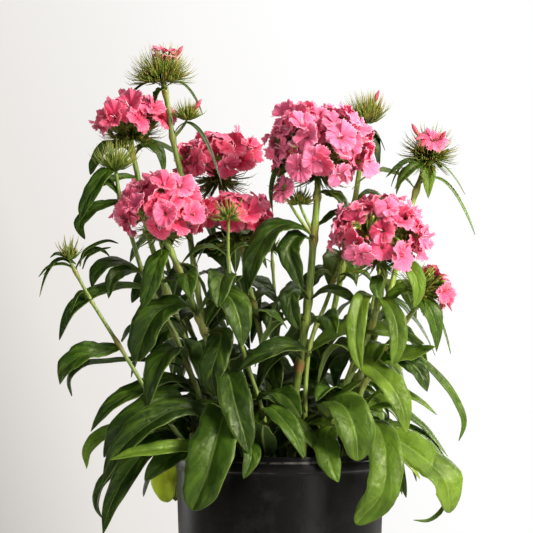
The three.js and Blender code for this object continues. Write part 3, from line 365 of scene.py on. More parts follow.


# ---------------------------------------------------------------- stems
# Smooth green stems as thick as a pencil or less, swollen and reddish where leaves sit.
# Each has its foot on the mix, its radius at foot and top, the points it passes on its way up,
# its leaves, the height and bearing of its plainer pairs of leaves, and the heights of the nodes
# at which only leaves sit that are laid one by one further on.
# A leaf is (height on the stem, bearing, reach, drop, rise, width, roll): bearing in degrees from
# the right towards the back, reach the level distance to the tip, drop the tip's height above
# the root, rise that of the arch's control point, and roll turns its face to the front.
STEMS = {
    "stem_crown_head": dict(
        foot=(9, -12), radius=(4.6, 3),
        path=[(10, -14, 194), (15, -18, 232), (22, -22, 284), (26, -26, 331), (29, -29, 366)],
        leaves=[
            (340, 12, 30, 18, 10, 8, 30), (366, 352, 30, -18, 8, 12, 30),
            (286, 172, 34, -22, 26, 15, 20), (236, 200, 40, -26, 26, 18, 20),
            (234, 60, 44, -10, 30, 18, 0), (196, 95, 50, -16, 34, 22, 0),
        ],
        nodes=[284, 331, 333],
    ),
    "stem_front_left": dict(
        foot=(-26, -27), radius=(3.6, 2.6),
        path=[(-40, -30, 205), (-56, -34, 251), (-73, -40, 295), (-90, -46, 334)],
        leaves=[(310, 10, 26, -30, 10, 9, 10), (226, 70, 40, -16, 26, 18, 0)],
        nodes=[262, 270, 271, 324],
    ),
    "stem_tall_left": dict(
        foot=(-20, 16), radius=(3.6, 2.4),
        path=[(-36, 14, 205), (-59, 9, 262), (-77, 4, 378), (-83, 1, 404), (-92, 0, 455)],
        leaves=[
            (448, 232, 14, -18, 6, 9, 0), (450, 182, 33, -12, 14, 4.5, 10),
            (450, 358, 32, -20, 16, 4.5, 10), (412, 340, 44, -38, 34, 6, 20),
            (345, 60, 46, -18, 30, 12, 0), (300, 110, 48, -24, 30, 14, 0),
            (256, 20, 40, -10, 34, 18, 20), (222, 82, 52, -22, 32, 20, 0),
        ],
    ),
    "stem_upper_left": dict(
        foot=(-36, 8), radius=(3.4, 2.4),
        path=[(-58, 10, 212), (-84, 11, 276), (-105, 11, 340), (-112, 10, 380), (-117, 9, 404)],
        leaves=[(402, 20, 44, -6, 14, 6, 30), (290, 100, 50, -26, 30, 15, 0)],
        pairs=[(240, 110)],
        nodes=[400, 401],
    ),
    "stem_left_bud": dict(
        foot=(-46, -10), radius=(3, 1.7),
        path=[
            (-62, -12, 205), (-83, -14, 258), (-107, -16, 305), (-115, -16, 330), (-125, -15, 363),
            (-129, -15, 388),
        ],
        leaves=[(364, 168, 24, 2, 22, 9, 30), (258, 188, 36, -34, 30, 14, 40)],
        nodes=[222, 305, 306, 361, 362],
    ),
    "stem_low_left": dict(
        foot=(-60, -24), radius=(2.4, 1.4),
        path=[
            (-80, -31, 181), (-97, -36, 204), (-126, -40, 251), (-147, -42, 285), (-160, -43, 309),
        ],
        leaves=[
            (308, 184, 30, -20, 22, 5, 35), (306, 170, 26, -2, 14, 4, 20),
            (307, 12, 30, 12, 26, 5, 30), (286, 190, 16, -12, 14, 4.5, 20),
        ],
        nodes=[250, 251, 252],
    ),
    "stem_back_left": dict(
        foot=(-10, 34), radius=(3.4, 2.4),
        path=[(-22, 37, 205), (-33, 40, 259), (-44, 44, 331), (-47, 45, 379)],
        leaves=[
            (374, 190, 20, -22, 10, 9, 10), (330, 80, 50, -24, 30, 13, 0),
            (331, 345, 36, -22, 26, 12, 20),
        ],
        pairs=[(280, 120)],
    ),
    "stem_middle": dict(
        foot=(-4, 2), radius=(3.2, 2.2),
        path=[(-8, 1, 205), (-16, -1, 260), (-27, -4, 307), (-32, -6, 335)],
        leaves=[
            (326, 185, 40, -12, 22, 10, 35), (326, 10, 30, -6, 18, 10, 35),
            (282, 200, 44, -20, 26, 15, 30), (282, 20, 40, -26, 24, 15, 20),
        ],
    ),
    "stem_front_bud": dict(
        foot=(-4, -32), radius=(2.4, 1.1),
        path=[(-16, -37, 205), (-30, -43, 250), (-37, -48, 284), (-40, -50, 317), (-40, -52, 341)],
        leaves=[(317, 184, 38, -4, 20, 6, 30), (317, 8, 28, 4, 18, 6, 30)],
        nodes=[240],
    ),
    "stem_back_right": dict(
        foot=(20, 22), radius=(3.4, 2.2),
        path=[(30, 29, 220), (40, 36, 262), (56, 43, 339), (66, 45, 403), (68, 45, 421)],
        leaves=[
            (415, 350, 18, -12, 12, 6, 20), (414, 335, 14, -26, 14, 9, 20),
            (360, 0, 40, -20, 26, 10, 20),
        ],
        pairs=[(312, 75), (256, 30)],
        nodes=[238],
    ),
    "stem_right_bud": dict(
        foot=(42, 12), radius=(3.4, 2.2),
        path=[(60, 8, 216), (85, 10, 284), (101, 12, 347), (108, 12, 371), (116, 11, 393)],
        leaves=[
            (388, 205, 28, -20, 8, 10, 20), (388, 290, 10, -24, 6, 10, 10),
            (389, 178, 30, -14, 14, 5, 20), (389, 358, 32, -22, 12, 4.5, 10),
            (372, 358, 48, -36, 28, 5.5, 20), (370, 184, 52, 2, 30, 8, 30),
            (288, 60, 50, -20, 30, 15, 0),
        ],
        pairs=[(250, 15)],
        nodes=[220],
    ),
    "stem_front_right": dict(
        foot=(32, -20), radius=(3.6, 2.6),
        path=[(51, -26, 218), (66, -31, 251), (78, -35, 290), (80, -38, 312)],
        leaves=[(239, 150, 40, -20, 26, 16, 20)],
        nodes=[234, 284, 286, 304],
    ),
    "stem_low_right": dict(
        foot=(50, -14), radius=(2.8, 1.9),
        path=[(64, -18, 214), (78, -22, 240), (98, -27, 268), (112, -30, 288)],
        leaves=[(286, 178, 32, -4, 14, 10, 30), (246, 228, 28, -30, 14, 14, 20)],
        nodes=[222, 248, 268, 284],
    ),
    "stem_right_cluster": dict(
        foot=(18, -34), radius=(2.4, 1.5),
        path=[(23, -32, 248), (36, -22, 282), (44, -12, 304), (47, -8, 312)],
        leaves=[(300, 340, 20, -10, 8, 5, 20), (300, 160, 20, 2, 12, 5, 20)],
        nodes=[204, 246, 248],
    ),
    "stem_far_right": dict(
        foot=(36, 36), radius=(3.2, 2.2),
        path=[(56, 46, 220), (74, 58, 275), (84, 65, 322)],
        leaves=[
            (316, 30, 30, -14, 16, 9, 0), (275, 0, 52, -36, 26, 13, 20),
            (274, 150, 44, -24, 24, 15, 0),
        ],
        pairs=[(232, 70)],
    ),
    "stem_far_left": dict(
        foot=(-30, 36), radius=(3.2, 2.2),
        path=[(-54, 44, 220), (-80, 50, 280), (-96, 53, 337)],
        leaves=[(328, 150, 32, -14, 16, 9, 0), (279, 90, 46, -24, 24, 15, 0)],
        pairs=[(232, 120)],
        nodes=[280],
    ),
    "stem_far_middle": dict(
        foot=(4, 50), radius=(2.6, 1.2),
        path=[(2, 58, 212), (-2, 68, 262), (-6, 72, 318)],
        leaves=[
            (312, 200, 24, -8, 12, 5, 10), (272, 60, 44, -26, 26, 13, 0),
            (272, 230, 34, -22, 22, 13, 0),
        ],
    ),
    "shoot_front_left": dict(
        foot=(-36, -48), radius=(3.4, 3),
        path=[(-40, -51, 186)],
        leaves=[],
        nodes=[173, 176, 180, 182],
    ),
    "shoot_front": dict(
        foot=(-10, -52), radius=(3, 2.6),
        path=[(-11, -54, 190)],
        leaves=[],
        nodes=[176, 187],
    ),
    "shoot_front_right": dict(
        foot=(40, -44), radius=(3.4, 3),
        path=[(42, -46, 192)],
        leaves=[(176, 120, 34, 12, 14, 16, 0)],
        nodes=[174, 189],
    ),
    "shoot_right": dict(
        foot=(64, -26), radius=(3.2, 2.8),
        path=[(67, -28, 188)],
        leaves=[],
        nodes=[172, 178, 184],
    ),
    "shoot_left": dict(
        foot=(-66, 4), radius=(3.2, 2.8),
        path=[(-69, 4, 188)],
        leaves=[(184, 140, 56, -26, 36, 22, 0)],
        nodes=[172, 176, 180, 185],
    ),
    "shoot_back_left": dict(
        foot=(-48, 46), radius=(3.2, 2.8),
        path=[(-51, 50, 186)],
        leaves=[
            (182, 130, 62, -60, 46, 28, 0), (178, 95, 58, -56, 40, 26, 0),
            (174, 168, 64, -48, 36, 22, 0),
        ],
    ),
    "shoot_back": dict(
        foot=(2, 68), radius=(3.2, 2.8),
        path=[(2, 71, 184)],
        leaves=[
            (180, 110, 56, -62, 44, 28, 0), (177, 65, 58, -56, 40, 26, 0),
            (174, 170, 46, -6, 24, 18, 0),
        ],
    ),
    "shoot_back_right": dict(
        foot=(50, 50), radius=(3.2, 2.8),
        path=[(53, 53, 186)],
        leaves=[
            (182, 45, 60, -62, 46, 28, 0), (178, 12, 62, -40, 40, 24, 0),
            (174, 80, 54, -56, 34, 24, 0),
        ],
    ),
}
STEM_START = 157  # height at which a stem's curve starts
STEM_SET = 146  # up to here it stands upright in the mix
STEM_FOOT = 134
UP = np.array([0.0, 0.0, 1.0])


def on_curve(points, share):
    """The point at a share of the way along a centripetal Catmull-Rom curve through points."""
    last = len(points) - 1
    number = min(int(share * last), last - 1)
    weight = share * last - number
    p1 = points[number]
    p2 = points[number + 1]
    p0 = points[number - 1] if number > 0 else 2 * p1 - p2
    p3 = points[number + 2] if number + 2 <= last else 2 * p2 - p1
    steps = ((p0, p1), (p1, p2), (p2, p3))
    before, between, after = [np.dot(b - a, b - a) ** 0.25 for a, b in steps]
    start = ((p1 - p0) / before - (p2 - p0) / (before + between) + (p2 - p1) / between) * between
    end = ((p2 - p1) / between - (p3 - p1) / (between + after) + (p3 - p2) / after) * between
    cubic = 2 * p1 - 2 * p2 + start + end
    square = -3 * p1 + 3 * p2 - 2 * start - end
    return cubic * weight ** 3 + square * weight ** 2 + start * weight + p1


def share_at(points, height):
    """The share of the way at which a stem, which climbs all the way, reaches a height."""
    low, high = 0, 1
    for _ in range(30):
        middle = (low + high) / 2
        if on_curve(points, middle)[2] < height:
            low = middle
        else:
            high = middle
    return low


def tube_along(rows, name):
    """One mesh of round tubes with closed ends, each a row of (x, y, z, radius) in mm."""
    curve = bpy.data.curves.new(name, "CURVE")
    curve.dimensions = "3D"
    curve.bevel_depth = MM
    curve.bevel_resolution = 2
    curve.use_fill_caps = True
    for row in rows:
        spline = curve.splines.new("POLY")
        spline.points.add(len(row) - 1)
        for point, (x, y, z, radius) in zip(spline.points, row):
            point.co = (x * MM, y * MM, z * MM, 1)
            point.radius = radius
    made = bpy.data.objects.new(name, curve)
    bpy.context.collection.objects.link(made)
    bpy.ops.object.select_all(action="DESELECT")
    made.select_set(True)
    bpy.context.view_layer.objects.active = made
    bpy.ops.object.convert(target="MESH")
    bpy.ops.object.mode_set(mode="EDIT")
    bpy.ops.mesh.select_all(action="SELECT")
    bpy.ops.mesh.remove_doubles(threshold=0.01 * MM)
    bpy.ops.mesh.normals_make_consistent(inside=False)
    bpy.ops.object.mode_set(mode="OBJECT")
    return hold(bpy.context.object, name)


def head_frame(at, squash, lean, core, cup):
    """A head's axes, and the centre of the green cup that its stem ends in."""
    turn = Vector((0, 0, 1)).rotation_difference(Vector((*lean, 1)).normalized())
    axes = np.array(turn.to_matrix())
    below = -0.6 * core * squash - 0.35 * cup if core else 0
    return axes, np.array(at) + axes @ np.array([0, 0, below])


def new_toned_material(name):
    """A new material, and the three numbers that its mesh's "tone" holds for each point."""
    material, tree, shader, place = new_material(name)
    colour = add(tree, "Attribute", {}, attribute_name="tone").outputs["Color"]
    tone = add(tree, "SeparateColor", {"Color": colour}).outputs
    return material, tree, shader, place, tone


# Young stems: pale green, faintly streaked lengthwise, with a rosy brown flush at the nodes.
# Tone: how flushed, how high on the plant, how dull: partly at random, partly painted shade.
rind, tree, shader, place, tone = new_toned_material("sweet william stem, fresh")
lengthwise = add(tree, "Mapping", {"Vector": place, "Scale": (1, 1, 0.08)})
streak = add(tree, "TexNoise", {"Vector": lengthwise, "Scale": 900, "Detail": 3})
rind_greens = [(0.35, "#617F2A"), (0.5, "#829B3D"), (0.68, "#A5B85C")]
streaked = add(tree, "ValToRGB", {"Fac": streak}, stops=rind_greens)
old = add(tree, "MapRange", {"Value": tone["Green"], "From Max": 0.45, "To Min": 0.3, "To Max": 0})
aged = add(tree, "Mix", {0: old, 6: streaked, 7: "#5F6A30"}, data_type="RGBA")
dulled_and_shaded = add(tree, "Mix", {0: tone["Blue"], 6: aged, 7: "#4A5824"}, data_type="RGBA")
flushed = add(tree, "Mix", {0: tone["Red"], 6: dulled_and_shaded, 7: "#A4683F"}, data_type="RGBA")
bump = add(tree, "Bump", {"Height": streak, "Strength": 0.25, "Distance": 0.0003})
feed(shader, {"Base Color": flushed, "Normal": bump, "Roughness": 0.42, "IOR": 1.42})

# The flower heads and the bud clusters that the stems end in: stem, height at which a side
# branch leaves it or None, centre, squash, lean, and radii of pink core (0 in a bud cluster)
# and green cup.
HEADS = {
    "bloom_crown": ("stem_crown_head", None, (32, -30, 401), 0.86, (0.14, -0.14), 28, 13),
    "bloom_front_left": ("stem_front_left", None, (-92, -46, 352), 0.82, (0, -0.2), 21, 12),
    "bloom_front_right": ("stem_front_right", None, (77, -38, 331), 0.8, (0.08, -0.15), 23, 13),
    "bloom_back_left": ("stem_back_left", None, (-48, 45, 394), 0.72, (0, 0), 18, 13),
    "bloom_middle": ("stem_middle", None, (-35, -7, 346), 0.76, (0, 0), 16.5, 11),
    "bloom_upper_left": ("stem_upper_left", None, (-118, 8, 423.5), 0.58, (-0.1, -0.15), 13, 12),
    "bloom_far_right": ("stem_far_right", None, (86, 67, 342), 0.78, (0.1, 0.2), 17, 11),
    "bloom_far_left": ("stem_far_left", None, (-98, 54, 358), 0.78, (-0.1, 0.2), 18, 11),
    "bloom_low_right": ("stem_low_right", None, (116, -32, 295), 0.9, (1.7, 0.1), 8, 8),
    "bloom_right_bud": ("stem_right_bud", None, (118, 10, 404), 0.9, (0.05, -0.9), 7.5, 9),
    "bloom_tall_left": ("stem_tall_left", None, (-94, 0, 465), 0.9, (0, 0), 6.5, 10),
    "bloom_side_floret": ("stem_crown_head", 333, (1, -39, 371), 0.9, (-0.5, -2.4), 3.4, 3.6),
    "buds_left": ("stem_left_bud", None, (-129, -15, 385), 1, (0.05, 0), 0, 4),
    "buds_low_left": ("stem_low_left", None, (-163, -43, 315), 1, (0, 0), 0, 2.8),
    "buds_front": ("stem_front_bud", None, (-40, -52, 348), 1, (0, 0), 0, 3.2),
    "buds_back_right": ("stem_back_right", None, (69, 45, 424), 1, (-0.25, -0.1), 0, 6),
    "buds_right": ("stem_right_cluster", None, (50, -5, 318), 1, (0, 0), 0, 4.5),
    "buds_far": ("stem_far_middle", None, (-6, 73, 325), 1, (0, 0), 0, 3.2),
    "buds_tall_side": ("stem_tall_left", 411, (-73, -3, 425), 1, (0, 0), 0, 4),
    "buds_crown_side": ("stem_crown_head", 336, (15, -32, 359), 1, (0, 0), 0, 3.4),
}
SLENDER = 0.78  # a stem's radius, as a share of its solid's
SWELLING = 0.48  # how much thicker a stem is at a pair of leaves
SWELLING_HALF = 3.2  # half as long as such a swelling, roughly
RUDDIEST_NODE = ("stem_crown_head", 234)
LOWEST_NODE = 176
NODE_SPACING = 30  # between two pairs of leaves on the leafy part of a stem
NODE_APART = 12  # the least height between such a pair and another leaf
LEAFY_TO = 312  # above this height only the leaves in the tables grow
SPARSE = "stem_low_left"  # so does this stem, which stands free
BARE_TOP = 40  # the length below a head that bears no such pair
TUBE_STEP = 5
BRANCH_STEPS = 8

curves = {}
tubes = {}
fresh_nodes = {}
corners_of = {
    name: np.array([v.co for v in thing.data.vertices]) / MM
    for name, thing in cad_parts.items()
}
for name, stem in STEMS.items():
    points = [np.array(p, float) for p in ((*stem["foot"], STEM_START), *stem["path"])]
    own_heads = [(head[1], head_frame(*head[2:])[1]) for head in HEADS.values() if head[0] == name]
    points += [cup_centre for branch, cup_centre in own_heads if branch is None]
    curves[name] = points

    leafy = [leaf[0] for leaf in stem["leaves"]] + [pair[0] for pair in stem.get("pairs", ())]
    heights = sorted({*leafy, *stem.get("nodes", ())})
    fresh = []
    if name != SPARSE:
        leafy_top = math.ceil(min(LEAFY_TO, points[-1][2] - BARE_TOP))
        for height in range(LOWEST_NODE, leafy_top, NODE_SPACING):
            if all(abs(height - other) > NODE_APART for other in heights):
                fresh.append(height)
    fresh_nodes[name] = fresh

    thick, thin = SLENDER * np.array(stem["radius"])
    rows = [[(*stem["foot"], STEM_FOOT, thick), (*stem["foot"], STEM_SET, thick)]]
    length = sum(np.linalg.norm(b - a) for a, b in zip(points, points[1:]))
    steps = max(4, round(length / TUBE_STEP))
    for i in range(steps + 1):
        x, y, z = on_curve(points, i / steps)
        swollen = max(math.exp(-((z - h + 1) / SWELLING_HALF) ** 2) for h in heights + fresh)
        rows[0].append((x, y, z, (thick + (thin - thick) * i / steps) * (1 + SWELLING * swollen)))
    for branch, end in own_heads:
        if branch is not None:
            start = on_curve(points, share_at(points, branch))
            bend = start + 0.6 * (end - start)
            bend[2] = start[2] + 0.45 * (end[2] - start[2])
            row = []
            for t in np.linspace(0, 1, BRANCH_STEPS + 1):
                x, y, z = (1 - t) ** 2 * start + 2 * t * (1 - t) * bend + t * t * end
                row.append((x, y, z, 1.5 - 0.5 * t))
            rows.append(row)
    tube = tube_along(rows, name + "_tube")

    heights_here = np.array([v.co.z for v in tube.data.vertices]) / MM
    flush = np.zeros(len(heights_here))
    draw = random.Random(name)
    for h in heights + fresh:
        ruddy = 0.95 if (name, h) == RUDDIEST_NODE else draw.uniform(0.04, 0.34)
        flush = np.maximum(flush, ruddy * np.exp(-((heights_here - h + 2) / 4) ** 2))
    share = (heights_here - STEM_START) / 300
    # Painted shade: stems that end further left are darker, on top of a little random dullness.
    dull_and_shade = 0.1 * draw.random() + min(0.42, max(0, 0.25 - points[-1][0] / 250))
    tones = np.column_stack([flush, share, np.full(len(share), dull_and_shade), np.ones(len(share))])
    tone = tube.data.attributes.new("tone", "FLOAT_COLOR", "POINT")
    tone.data.foreach_set("color", tones.ravel())
    tube.data.materials.append(rind)
    tubes[name] = tube


# ---------------------------------------------------------------- leaves
# Opposite lance-shaped leaves that clasp the stem, arch over and hang: smooth, glossy and dark
# above with a sunken pale midrib, dull and greyer below. Low ones are broad with blunt tips.
LEAF_THICKNESS = 0.45
LEAF_TURNS = (0, 7, -7, 14, -14, 22, -22)  # how a solid's leaf may have been moved, to stand free
LEAF_LIFTS = (0, 8, -6)
AS_BUILT_WITHIN = 5  # how near a leaf's tip is to the solid's
BROAD = 24  # leaves wider than this end bluntly
SLIM = 8  # leaves narrower than this hardly frill
ARCH_REACH = 0.42  # how far out an arch's control point is, as a share of the reach


def spine(root, leaf, t):
    """Points on a leaf's midrib, and the way ahead there, at shares t of its length."""
    _, bearing, reach, drop, rise = leaf[:5]
    out = np.array([math.cos(math.radians(bearing)), math.sin(math.radians(bearing)), 0])
    across = np.array([-out[1], out[0], 0])
    t = np.atleast_1d(t)[:, None]
    bow = 2 * t * (1 - t)
    at = root + out * reach * (ARCH_REACH * bow + t * t) + UP * (bow * rise + t * t * drop)
    fall = 2 - 4 * t
    ahead = out * reach * (ARCH_REACH * fall + 2 * t) + UP * (fall * rise + 2 * t * drop)
    return at, unit(ahead), across


def lance(t, power):
    """How wide a leaf is along its length, as a share of its widest; a high power is a keen tip."""
    peak = 1 / (1 + power)
    return t * (1 - t) ** power / (peak * (1 - peak) ** power) + 0.3 * (1 - t) ** 3


def blade(at, side, normal, width, t, v, draw):
    """Points on a leaf's upper face at shares t of its length and v of its half width."""
    half = width / 2 * lance(t, 0.55 if width > BROAD else draw.uniform(0.7, 1.05))
    phase = draw.uniform(0, math.tau)
    fold = draw.uniform(0.24, 0.52)
    beat = math.tau * draw.uniform(1.2, 2.4) * np.where(v > 0, 1, 1.25) * t + phase + (v > 0)
    frill = (0.15 * np.sin(beat) + 0.05 * np.sin(3.3 * beat + 1)) * (0.2 if width < SLIM else 1)
    dished = fold * np.abs(v) ** 0.75 - 0.14 * v * v
    lift = half * (dished + frill * np.abs(v) ** 1.5 * (1 - t ** 4))
    half = half * (1 + 0.045 * np.sin(1.9 * beat + 2) * np.abs(v))
    return at + side * (v * half)[:, None] + normal * lift[:, None]


def arched(root, leaf, t, v, draw):
    """A blade on a leaf's arch, rolled to the front, twisted and hooked a little."""
    width, roll = leaf[5:7]
    at, ahead, across = spine(root, leaf, t)
    level = unit(across - ahead * (ahead @ across)[:, None])
    up = np.cross(ahead, level)
    sign = -1 if across[1] < 0 else 1
    twist = draw.uniform(-0.9, 0.9)
    turn = math.radians(roll) * sign * np.minimum(1, 0.4 + 1.2 * t) + twist * t ** 2
    side = level * np.cos(turn)[:, None] + up * np.sin(turn)[:, None]
    normal = up * np.cos(turn)[:, None] - level * np.sin(turn)[:, None]
    length = math.hypot(leaf[2], leaf[3])
    hook = draw.uniform(0.0, 0.12) * length * np.maximum(0, 2 * t - 1) ** 2
    sway = draw.uniform(-0.05, 0.05) * length * np.sin(math.pi * t)
    at = at - up * hook[:, None] + level * sway[:, None]
    return blade(at, side, normal, width if width < SLIM else 1.2 * width, t, v, draw)


def laid(midrib, width, face, t, v, draw):
    """A blade along midrib points, its upper face turned to face where it can."""
    points = [np.array(p, float) for p in midrib]
    shares, number = np.unique(t, return_inverse=True)
    at = np.array([on_curve(points, min(1, share)) for share in shares])
    ahead = unit(np.gradient(at, axis=0))
    sideways = np.cross(face, ahead)
    best = int(np.argmax(np.linalg.norm(sideways, axis=1)))
    for order in (range(best, len(at)), range(best, -1, -1)):
        last = unit(sideways[best])
        for i in order:
            last = unit(last - ahead[i] * (last @ ahead[i]))
            sideways[i] = last
    normal = np.cross(ahead, sideways)
    return blade(at[number], sideways[number], normal[number], width, t, v, draw)


def sheet(columns, rows):
    """A flat sheet as a pattern: shares along and across of its corners, and its faces."""
    corners, faces = pattern(
        bpy.ops.mesh.primitive_grid_add, x_subdivisions=rows, y_subdivisions=columns, size=2
    )
    along = 1 - (0.5 - corners[:, 0] / 2) ** 1.4
    return along, np.sign(corners[:, 1]) * np.abs(corners[:, 1]) ** 1.3, faces


fine_sheet = sheet(10, 24)
rough_sheet = sheet(2, 8)


def as_built(name, curve, leaf):
    """Where an arched leaf stands on the solid, which may have turned or lifted it, or None."""
    root = on_curve(curve, share_at(curve, leaf[0]))
    nearest, found = AS_BUILT_WITHIN, None
    for turn in LEAF_TURNS:
        for lift in LEAF_LIFTS:
            moved = (leaf[0], leaf[1] + turn, leaf[2], leaf[3] + lift, *leaf[4:])
            tip = spine(root, moved, 1.0)[0][0]
            apart = np.linalg.norm(corners_of[name] - tip, axis=1).min()
            if apart < nearest:
                nearest, found = apart, (root, moved)
    return found


def pair_leaves(height, bearing, top):
    """Two opposite leaves, shorter and narrower the higher they sit."""
    share = (height - STEM_START) / (top - STEM_START)
    reach = 58 - 22 * share
    width = 22 - 9 * share
    return [
        (height, bearing + turn, reach, -0.4 * reach, 0.6 * reach, width, 0) for turn in (0, 180)
    ]


leaf_parts = {name: [] for name in STEMS}
leaf_trees = []


def grow_leaf(name, shape, draw, paleness_and_light):
    """Adds a leaf to its stem's, and to what later leaves stay clear of."""
    along, across, faces = fine_sheet
    seed = draw.random()
    points = shape(along, across, random.Random(seed))
    tones = np.column_stack([along, across / 2 + 0.5, np.full(len(along), paleness_and_light)])
    leaf_parts[name].append((points, faces, tones, 0))
    along, across, faces = rough_sheet
    points = shape(along, across, random.Random(seed))
    leaf_trees.append(BVHTree.FromPolygons(points.tolist(), faces))
